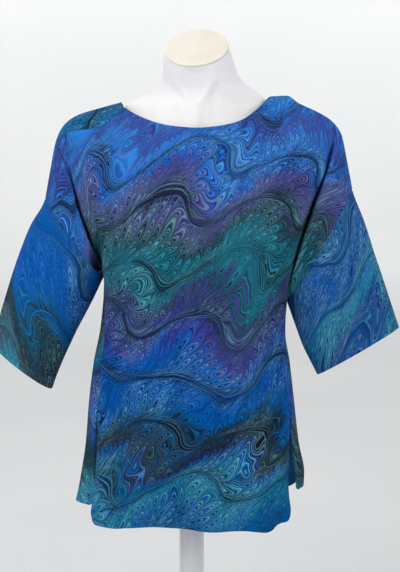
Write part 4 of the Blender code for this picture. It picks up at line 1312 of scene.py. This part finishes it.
def marbled_cloth(name):
    """Combed marbling on a light, matte, plain-woven cloth."""
    g = Nodes("marbled_" + name)
    s, t = g.uv("cloth")
    s_wave, n = g.uv("swirl")
    q, slope = g.uv("river")
    plain, seed, depth, bright = CALM[name]
    pitch = MARBLING[name][4]
    lean_top, lean_low = DRAG[name]

    def dies(distance, reach):
        return g.math("EXPONENT", g.times(distance, -1.0 / reach))

    def about(x, y, z=0.0, detail=1.0):
        return g.less(g.noise(g.vector(x, y, seed + z), detail), 0.5)

    # between two rivers: how far below the upper one, and above the lower one
    row = g.math("FLOOR", q)
    above = g.times(g.math("FRACT", q), pitch)
    below = g.less(pitch, above)
    # columns fan out under each crest and sweep along the rivers
    c = g.less(s_wave, g.times(dies(below, 0.013), lean_top))
    c = g.plus(c, g.times(dies(above, 0.030), lean_low))
    spread = g.math("TANH", g.math("DIVIDE", g.less(below, pitch / 2), 0.022))
    c = g.less(c, g.times(g.times(spread, slope), 0.012))
    c = g.plus(c, g.times(about(g.times(s_wave, 14), g.times(n, 30), 16), 0.006))
    column = g.plus(g.math("DIVIDE", c, TOOTH), g.times(about(g.times(c, 30), g.times(n, 14)), 1.3))
    column = g.plus(column, g.times(row, 0.37))
    index = g.math("FLOOR", column)
    across = g.less(g.times(g.math("FRACT", column), 2.0), 1.0)
    arch = g.less(1.0, g.times(across, across))
    dice = g.add("ShaderNodeTexWhiteNoise", noise_dimensions="1D")
    g.put(dice.inputs["W"], g.plus(g.plus(index, g.times(row, 17.0)), seed * 7.0))
    pair = g.add("ShaderNodeSeparateXYZ")
    g.put(pair.inputs[0], dice.outputs["Color"])
    dice_a, dice_b = pair.outputs[0], pair.outputs[1]

    # each column is pulled down between two teeth, into round-headed leaves
    pull = g.plus(g.times(about(g.times(c, 11), g.times(n, 11), 2), 0.012), 0.012)
    pull = g.plus(g.plus(pull, g.times(dice_a, 0.006)), g.times(below, 0.42))
    leaf = g.plus(below, g.times(pull, arch))
    leaf = g.less(leaf, g.times(g.less(dice_a, 0.5), 0.008))
    loose = g.noise(g.vector(g.less(g.times(index, 3.7), g.times(leaf, 150)), g.times(c, 14), seed), 1.0)
    turns = g.math("DIVIDE", g.math("MAXIMUM", g.plus(leaf, 0.004), 0.0), 0.032)
    turns = g.times(g.math("LOGARITHM", g.plus(turns, 1.0), math.e), 2 * math.pi * 11)
    turns = g.plus(g.plus(turns, g.times(loose, 8.0)), g.times(dice_a, 6.28))
    nest = g.plus(g.times(g.math("SINE", turns), 0.225), g.plus(0.225, g.times(loose, 0.55)))

    # colour zones, drawn out by the comb, a little different from leaf to leaf
    zone = g.less(n, g.times(g.times(pull, arch), 0.6))
    zone = g.plus(zone, g.times(about(g.times(c, 6), g.times(n, 6), 4, 2.0), 0.10))
    zone = g.plus(zone, g.times(g.less(dice_b, 0.5), 0.022))
    zone = g.plus(zone, g.times(g.math("SINE", g.plus(g.times(turns, 0.5), 1.0)), 0.015))
    stops = ZONES[name]
    low, high = stops[0][0], stops[-1][0]
    share = g.math("DIVIDE", g.less(zone, low), high - low, clamp=True)
    colour = g.ramp(share, [((a - low) / (high - low), INK[b]) for a, b in stops])

    # dark outlines and pale hearts of the leaves, and the strands of the rivers
    gather = g.noise(g.vector(g.times(n, 11), g.times(c, 8), seed + 8), 1.0)
    still = g.ease(0.60 - plain * 0.7, 0.76 - plain * 0.6,
                   g.noise(g.vector(g.times(n, 8), g.times(s, 7), seed + 6), 1.0))
    edge = g.times(g.math("POWER", g.math("ABSOLUTE", across), 9.0), g.plus(0.55, g.times(dice_b, 0.6)))
    apart = g.ease(0.001, 0.006, g.math("MINIMUM", above, below))
    pale = g.times(g.ease(0.56 - bright, 0.76 - bright, nest), g.ease(0.32 - bright, 0.58 - bright, gather))
    pale = g.times(g.times(pale, apart), g.less(1.0, g.times(edge, 0.9)))
    pale = g.times(pale, g.less(1.0, g.times(still, 0.75)))
    dark = g.plus(g.times(g.ease(0.47, 0.22, nest), 0.95), g.times(g.times(edge, apart), 0.85))
    dark = g.times(g.math("MINIMUM", dark, 1.0), g.less(1.0, g.times(still, 0.65)))
    strands = g.noise(g.vector(g.times(below, 620), g.times(c, 9), seed + 12), 1.0, 0.8)
    swollen = g.plus(0.35, g.times(g.noise(g.vector(g.times(c, 9), g.times(row, 5.3), seed + 20), 1.0), 1.25))
    river = g.math("MAXIMUM", g.ease(0.022, 0.0, g.math("DIVIDE", above, swollen)),
                   g.ease(0.012, 0.0, g.math("DIVIDE", below, swollen)))
    river = g.times(river, g.ease(0.25, 1.0, swollen))
    river = g.times(river, g.less(1.0, g.times(still, 0.5)))
    dark = g.plus(dark, g.times(river, g.times(g.ease(0.60, 0.42, strands), 0.95 * depth)))
    colour = g.mix(g.times(river, 0.34 * depth), colour, INK["moss"])
    dark = g.math("MINIMUM", dark, 1.0)

    ink = g.mix(0.10, INK["outline"], colour)
    light = g.mix(0.50, colour, INK["cyan"])
    colour = g.mix(g.times(dark, 0.92), colour, ink)
    streak = g.times(g.times(river, g.ease(0.60, 0.76, strands)), 0.42 + 0.35 * (1 - depth))
    shine = g.plus(g.times(pale, 0.66), streak)
    colour = g.mix(g.math("MINIMUM", shine, 1.0), colour, light)

    # the dye sits unevenly in the weave
    fine = g.noise(g.vector(g.plus(g.times(leaf, 640), g.times(index, 1.3)), g.times(c, 34), seed), 1.0)
    grain = g.noise(g.vector(g.times(s, 560), g.times(t, 560), seed), 2.0, 0.7)
    quiet = g.times(still, 0.6)
    fine = g.plus(g.times(fine, g.less(1.0, quiet)), g.times(quiet, 0.5))
    tone = g.plus(g.plus(0.24, g.times(fine, 0.62)), g.times(grain, 0.80))
    colour = g.mix(1.0, colour, g.vector(tone, tone, tone), "MULTIPLY")

    # the wrong side shows the print through, paler and greyer
    inside = g.add("ShaderNodeAttribute", attribute_name="wrong_side").outputs["Fac"]
    colour = g.mix(g.times(inside, 0.45), colour, g.mix(0.5, INK["smoke"], INK["blue"]))

    # plain weave: warp over weft, and slubs
    warp = g.math("SINE", g.times(s, 2 * math.pi / 0.00052))
    weft = g.math("SINE", g.times(t, 2 * math.pi / 0.00056))
    slub = g.noise(g.vector(g.times(s, 420), g.times(t, 55), 3.0), 1.0)
    weave = g.plus(g.times(g.times(warp, weft), 0.5), g.times(slub, 0.8))
    normal = g.bump(weave, 0.00018, 0.55)
    soft = g.noise(g.vector(g.times(s, 60), g.times(t, 42), 5.0), 2.0)
    normal = g.bump(soft, 0.0012, 0.35, normal)

    shader = g.shader
    g.put(shader.inputs["Base Color"], colour)
    g.put(shader.inputs["Roughness"], g.plus(0.70, g.times(grain, 0.16)))
    g.put(shader.inputs["Normal"], normal)
    shader.inputs["Specular IOR Level"].default_value = 0.03
    shader.inputs["Sheen Weight"].default_value = 0.01
    shader.inputs["Sheen Roughness"].default_value = 0.45
    shader.inputs["Sheen Tint"].default_value = (0.75, 0.85, 1.0, 1.0)
    return g.material


def thread(name):
    """Blue sewing thread, two-ply."""
    g = Nodes(name)
    place = g.add("ShaderNodeTexCoord").outputs["Object"]
    ply = g.noise(place, 1.0, scale=1400)
    g.put(g.shader.inputs["Base Color"], g.ramp(ply, [(0.3, tint("16386f")), (0.7, tint("2a5c9e"))]))
    g.put(g.shader.inputs["Normal"], g.bump(ply, 0.0001, 0.6))
    g.shader.inputs["Roughness"].default_value = 0.55
    g.shader.inputs["Sheen Weight"].default_value = 0.2
    return g.material


def moulded(name, light, shade, roughness, speckle=320.0, depth=0.00006, upper=None):
    """Smooth moulded or painted surface: faint mottle, fine orange peel.
    Its upper part may fade into a darker grey between two heights: painted shade, standing in for the shade that falls
    on the form's neck."""
    g = Nodes(name)
    place = g.add("ShaderNodeTexCoord").outputs["Object"]
    mottle = g.noise(place, 3.0, scale=7.0)
    peel = g.noise(place, 1.0, scale=speckle)
    dust = g.noise(place, 2.0, scale=38.0)
    mixed = g.plus(g.times(mottle, 0.6), g.times(dust, 0.4))
    colour = g.ramp(mixed, [(0.32, tint(shade)), (0.62, tint(light))])
    if upper:
        # painted shade: above the two heights the colour fades to a darker grey, where shade falls on the neck
        parts = g.add("ShaderNodeSeparateXYZ")
        g.put(parts.inputs[0], place)
        share = g.ease(upper[0], upper[1], g.plus(parts.outputs[2], g.times(mottle, 0.008)))
        colour = g.mix(share, colour, tint(upper[2]))
    g.put(g.shader.inputs["Base Color"], colour)
    g.put(g.shader.inputs["Roughness"], g.plus(roughness - 0.06, g.times(dust, 0.12)))
    g.put(g.shader.inputs["Normal"], g.bump(peel, depth, 0.5))
    g.shader.inputs["Specular IOR Level"].default_value = 0.45
    return g.material


def brushed(name, light, shade, roughness, metallic):
    """Satin paint on metal, with faint lines down it."""
    g = Nodes(name)
    place = g.add("ShaderNodeTexCoord").outputs["Object"]
    stretch = g.add("ShaderNodeMapping")
    g.put(stretch.inputs["Vector"], place)
    stretch.inputs["Scale"].default_value = (260, 260, 9)
    lines = g.noise(stretch.outputs[0], 2.0)
    cloud = g.noise(place, 2.0, scale=9.0)
    mixed = g.plus(g.times(lines, 0.45), g.times(cloud, 0.55))
    g.put(g.shader.inputs["Base Color"], g.ramp(mixed, [(0.3, tint(shade)), (0.7, tint(light))]))
    g.put(g.shader.inputs["Roughness"], g.plus(roughness - 0.05, g.times(cloud, 0.10)))
    g.put(g.shader.inputs["Normal"], g.bump(lines, 0.00003, 0.4))
    g.shader.inputs["Metallic"].default_value = metallic
    return g.material


# ====================================================== form and its stand ====
def ringed(name, rings, material):
    """A closed smooth body through rings, with fanned flat ends."""
    rings = [np.asarray(r, float) for r in rings]
    count = len(rings[0])
    bm = bmesh.new()
    rows = [[bm.verts.new(p) for p in ring] for ring in rings]
    for a, b in zip(rows[:-1], rows[1:]):
        for j in range(count):
            k = (j + 1) % count
            bm.faces.new((a[j], a[k], b[k], b[j]))
    for ring, flipped in ((rows[0], True), (rows[-1], False)):
        middle = bm.verts.new(sum((v.co for v in ring), Vector()) / count)
        for j in range(count):
            k = (j + 1) % count
            bm.faces.new((middle, ring[k], ring[j]) if flipped else (middle, ring[j], ring[k]))
    bmesh.ops.recalc_face_normals(bm, faces=bm.faces[:])
    mesh = bpy.data.meshes.new(name)
    bm.to_mesh(mesh)
    bm.free()
    mesh.shade_smooth()
    mesh.set_sharp_from_angle(angle=math.radians(40))
    obj = bpy.data.objects.new(name, mesh)
    bpy.context.scene.collection.objects.link(obj)
    mesh.materials.append(material)
    return obj


# Soft relief on the form's throat: tendons stand out, hollows lie in (below zero).
#    x_high  z_high  x_low  z_low  rise  width
THROAT = [
    (-30,    977,    -4,    949,   2.0,   4.6),
    ( 27,    979,    11,    955,   2.0,   4.6),
    (  1,    949,     2,    922,   1.5,   5.0),
    (-22,    960,   -17,    922,  -2.0,   5.0),
    ( 14,    946,    13,    922,  -1.0,   4.0),
    ( 28,    968,    26,    922,  -1.8,   5.0),
    ( -3,    992,     0,    962,  -2.2,   9.0),
]


def throat(ring):
    """Press the throat's relief into the front of a ring."""
    x, z = ring[:, 0] / MM, ring[:, 2] / MM
    rise = np.zeros(len(ring))
    for x0, z0, x1, z1, height, width in THROAT:
        along = np.clip((z0 - z) / (z0 - z1), 0, 1)
        off = (x - (x0 + (x1 - x0) * along)) / width
        past = np.maximum(np.maximum(z - z0, z1 - z), 0) / (1.5 * width)
        rise += height * np.exp(-0.5 * (off ** 2 + past ** 2))
    ring[:, 1] -= rise * MM * ease(0.0, 0.014, -ring[:, 1])
    return ring


def fine_form(white, cream, grey, steel):
    """The dress form, its neck cap, the pole and the stand, finely rounded."""
    sides = 192
    levels = column(FORM, 1)
    values = np.array([row[2:] for row in FORM], float)
    at = np.concatenate([np.linspace(levels[0], levels[-9], 90)[:-1],
                         np.linspace(levels[-9], levels[-1], 54)])
    rings = []
    half, mid_x, front, back, square = values[0]
    for part in np.linspace(0, 1, 9):
        a = part * math.pi / 2
        scale = 0.55 + 0.45 * math.sin(a) ** 0.8
        rings.append(form_ring(levels[0] - 12 * (1 - (1 - math.cos(a)) ** 0.9) , half * scale, mid_x,
                               front * scale, back * scale, square, sides))
    rings = rings[:-1]
    for z, (half, mid_x, front, back, square) in zip(at, smooth_path(levels, values, at)):
        rings.append(throat(form_ring(z, half, mid_x, front, back, square, sides)))
    c, s = superellipse(sides, 2.0)
    plane = math.cos(math.radians(NECK_TILT))
    end = np.stack([CAP_HALF * c, CAP_DEEP * s / plane, np.zeros(sides)], -1) * MM
    slanted = tilted(end, -(CAP_THICK / 2 + FIT_GAP) * MM)
    last = rings[-1]
    for part in (0.25, 0.5, 0.75, 0.97):
        rings.append(last * (1 - part) + slanted * part)
    rings.append(tilted(end * 0.985, -(CAP_THICK / 2 + FIT_GAP) * MM))
    form = ringed("form_shell", rings, white)
    cap_rings = [tilted(end * 0.992, -CAP_THICK / 2 * MM)]
    for a in (0, 20, 45, 70, 90):
        b = math.radians(a)
        cap_rings.append(tilted(end * (1 - 0.020 * (1 - math.cos(b))),
                                (CAP_THICK / 2 - 0.9 * (1 - math.sin(b))) * MM))
    cap_rings.append(tilted(end * 0.90, (CAP_THICK / 2 + 0.0) * MM))
    cap = ringed("neck_plate", cap_rings, cream)

    def turned(name, profile, material, around=96):
        return ringed(name, [disc(r, z, POLE_X, 0, around) for r, z in profile], material)

    bottom = levels[0] - 12 - FIT_GAP
    pole = turned("pole_tube", [(POLE_RADIUS - 0.6, BASE_HEIGHT + FIT_GAP), (POLE_RADIUS, BASE_HEIGHT + FIT_GAP + 0.6),
                                (POLE_RADIUS, bottom - 0.6), (POLE_RADIUS - 0.6, bottom)], grey)
    profile = [(BASE_RADIUS - 1, 0), (BASE_RADIUS - 0.3, 0.3), (BASE_RADIUS, 1),
               (BASE_RADIUS, BASE_HEIGHT - BASE_EDGE)]
    for a in range(15, 91, 15):
        b = math.radians(a)
        profile.append((BASE_RADIUS - BASE_EDGE * (1 - math.cos(b)), BASE_HEIGHT - BASE_EDGE * (1 - math.sin(b))))
    base = turned("base_disc", profile, steel, 160)
    return form, cap, pole, base


# ========================================================== stage and light ====
def build_stage():
    """A pale floor that curves up into a pale wall, wide all round."""
    radius, wall, curve = 8.5, 9.0, 2.2
    profile = [(0.0, 0.0), (2.0, 0.0), (4.0, 0.0), (radius - curve, 0.0)]
    for a in range(6, 91, 6):
        b = math.radians(a)
        profile.append((radius - curve + curve * math.sin(b), curve * (1 - math.cos(b))))
    profile.append((radius, 5.0))
    profile.append((radius, wall))
    sides = 96
    bm = bmesh.new()
    middle = bm.verts.new((0, 0, 0))
    rows = []
    for r, z in profile[1:]:
        rows.append([bm.verts.new((r * math.cos(2 * math.pi * j / sides),
                                   r * math.sin(2 * math.pi * j / sides), z)) for j in range(sides)])
    for j in range(sides):
        k = (j + 1) % sides
        bm.faces.new((middle, rows[0][j], rows[0][k]))
        for a, b in zip(rows[:-1], rows[1:]):
            bm.faces.new((a[j], b[j], b[k], a[k]))
    bmesh.ops.recalc_face_normals(bm, faces=bm.faces[:])
    mesh = bpy.data.meshes.new("studio_cove")
    bm.to_mesh(mesh)
    bm.free()
    mesh.shade_smooth()
    obj = bpy.data.objects.new("studio_cove", mesh)
    bpy.context.scene.collection.objects.link(obj)
    g = Nodes("studio_paper")
    place = g.add("ShaderNodeTexCoord").outputs["Object"]
    cloud = g.noise(place, 2.0, scale=0.9)
    fibre = g.noise(place, 2.0, scale=160.0)
    mixed = g.plus(g.times(cloud, 0.8), g.times(fibre, 0.2))
    g.put(g.shader.inputs["Base Color"], g.ramp(mixed, [(0.3, tint("dcdddd")), (0.7, tint("e3e3e3"))]))
    # the paper glows by itself, more towards its top and further out: painted light, in place of lamps shining on it
    parts = g.add("ShaderNodeSeparateXYZ")
    g.put(parts.inputs[0], place)
    high = g.ease(-0.2, 2.4, parts.outputs[2])
    away = g.add("ShaderNodeVectorMath", operation="LENGTH")
    g.put(away.inputs[0], place)
    painted_glow_far = g.ease(2.5, 7.5, away.outputs["Value"])
    # painted light: an emission that brightens the backdrop with height and with distance from the middle
    g.put(g.shader.inputs["Emission Color"], g.vector(1.0, 1.0, 1.0))
    g.put(g.shader.inputs["Emission Strength"], g.plus(g.times(painted_glow_far, 0.20), g.times(high, 0.27)))
    g.shader.inputs["Roughness"].default_value = 0.95
    g.shader.inputs["Specular IOR Level"].default_value = 0.1
    mesh.materials.append(g.material)
    return obj


def soft_light(name, place, aim, size, power, colour=(1, 1, 1)):
    data = bpy.data.lights.new(name, "AREA")
    data.shape = "RECTANGLE"
    data.size, data.size_y = size
    data.energy = power
    data.color = colour
    obj = bpy.data.objects.new(name, data)
    obj.location = place
    obj.rotation_euler = (Vector(aim) - Vector(place)).to_track_quat("-Z", "Y").to_euler()
    obj.visible_camera = False
    bpy.context.scene.collection.objects.link(obj)
    return obj


def build_lights():
    middle = (0, 0, 0.72)
    soft_light("key", (-1.5, -2.6, 2.5), middle, (1.6, 1.6), 36, (1.0, 0.99, 0.98))
    soft_light("fill", (2.6, -2.2, 1.5), middle, (2.2, 2.0), 4.5, (0.97, 0.985, 1.0))
    soft_light("top", (0.0, -0.3, 3.4), middle, (2.2, 2.2), 17)
    soft_light("back_left", (-2.4, 2.4, 2.2), middle, (1.6, 1.6), 10)
    soft_light("back_right", (2.4, 2.2, 2.0), middle, (1.6, 1.6), 5)
    world = bpy.data.worlds.new("studio_air")
    bpy.context.scene.world = world
    world.use_nodes = True
    ground = world.node_tree.nodes["Background"]
    ground.inputs["Color"].default_value = (0.93, 0.96, 1.0, 1.0)
    ground.inputs["Strength"].default_value = 0.42


def build_camera():
    """At the photo's angle: in front, a little above, with a long lens."""
    distance, height, aim = 2.6, math.radians(7.0), Vector((0.00675, 0.0, 0.675))
    data = bpy.data.cameras.new("studio_camera")
    data.sensor_fit = "VERTICAL"
    data.sensor_width = data.sensor_height = 36.0
    data.lens = 18.0 / math.tan(math.radians(9.37))
    obj = bpy.data.objects.new("studio_camera", data)
    obj.location = aim + Vector((0, -math.cos(height), math.sin(height))) * distance
    obj.rotation_euler = (aim - obj.location).to_track_quat("-Z", "Y").to_euler()
    bpy.context.scene.collection.objects.link(obj)
    bpy.context.scene.camera = obj
    bpy.context.scene.view_settings.view_transform = "Standard"


# ==================================================================== build ====
def flat_size(st, closed):
    """Width and length of a piece's flat cut, and its area."""
    s, t = st
    cut = (float(s.max() - s.min()), float(t.max() - t.min()))
    cell = 0.5 * ((s[:-1, 1:] - s[:-1, :-1]) + (s[1:, 1:] - s[1:, :-1])) \
        * 0.5 * ((t[1:, :-1] - t[:-1, :-1]) + (t[1:, 1:] - t[:-1, 1:]))
    return cut, float(np.abs(cell).sum())


def main():
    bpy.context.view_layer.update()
    # the form's neck is painted a darker grey from 0.95 m up: painted shade on the neck's column
    white = moulded("form_white", "ecebe9", "e6e5e5", 0.50, upper=(0.950, 0.984, "dad9dd"))
    cream = moulded("cap_cream", "eae2d7", "e3dacb", 0.55, 180.0)
    grey = brushed("pole_grey", "cfcfd3", "c4c4c9", 0.38, 0.0)
    steel = brushed("stand_grey", "b3b3b6", "a6a6aa", 0.40, 0.0)
    form, cap, pole, base = fine_form(white, cream, grey, steel)
    hard = {"form_torso": (form, "form_white"), "neck_cap": (cap, "cap_cream"),
            "pole": (pole, "pole_grey"), "base_plate": (base, "stand_grey")}
    for node, (obj, finish) in hard.items():
        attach(obj, "root")
        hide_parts(node)
    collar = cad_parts["base_collar"]
    for place in collar.material_slots:
        place.material = steel

    sewing = thread("blue_thread")
    sizes = {}
    for node, (cloth, sewn, st) in build_fine_cloth().items():
        cloth.data.materials.append(marbled_cloth(node))
        sewn.data.materials.append(sewing)
        for obj in (cloth, sewn):
            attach(obj, "root")
        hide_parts(node)
        cut, area = flat_size(st, node.startswith("sleeve"))
        sizes[node] = (cut, area)
    build_stage()
    build_lights()
    build_camera()
    print("flat sizes", sizes)


main()
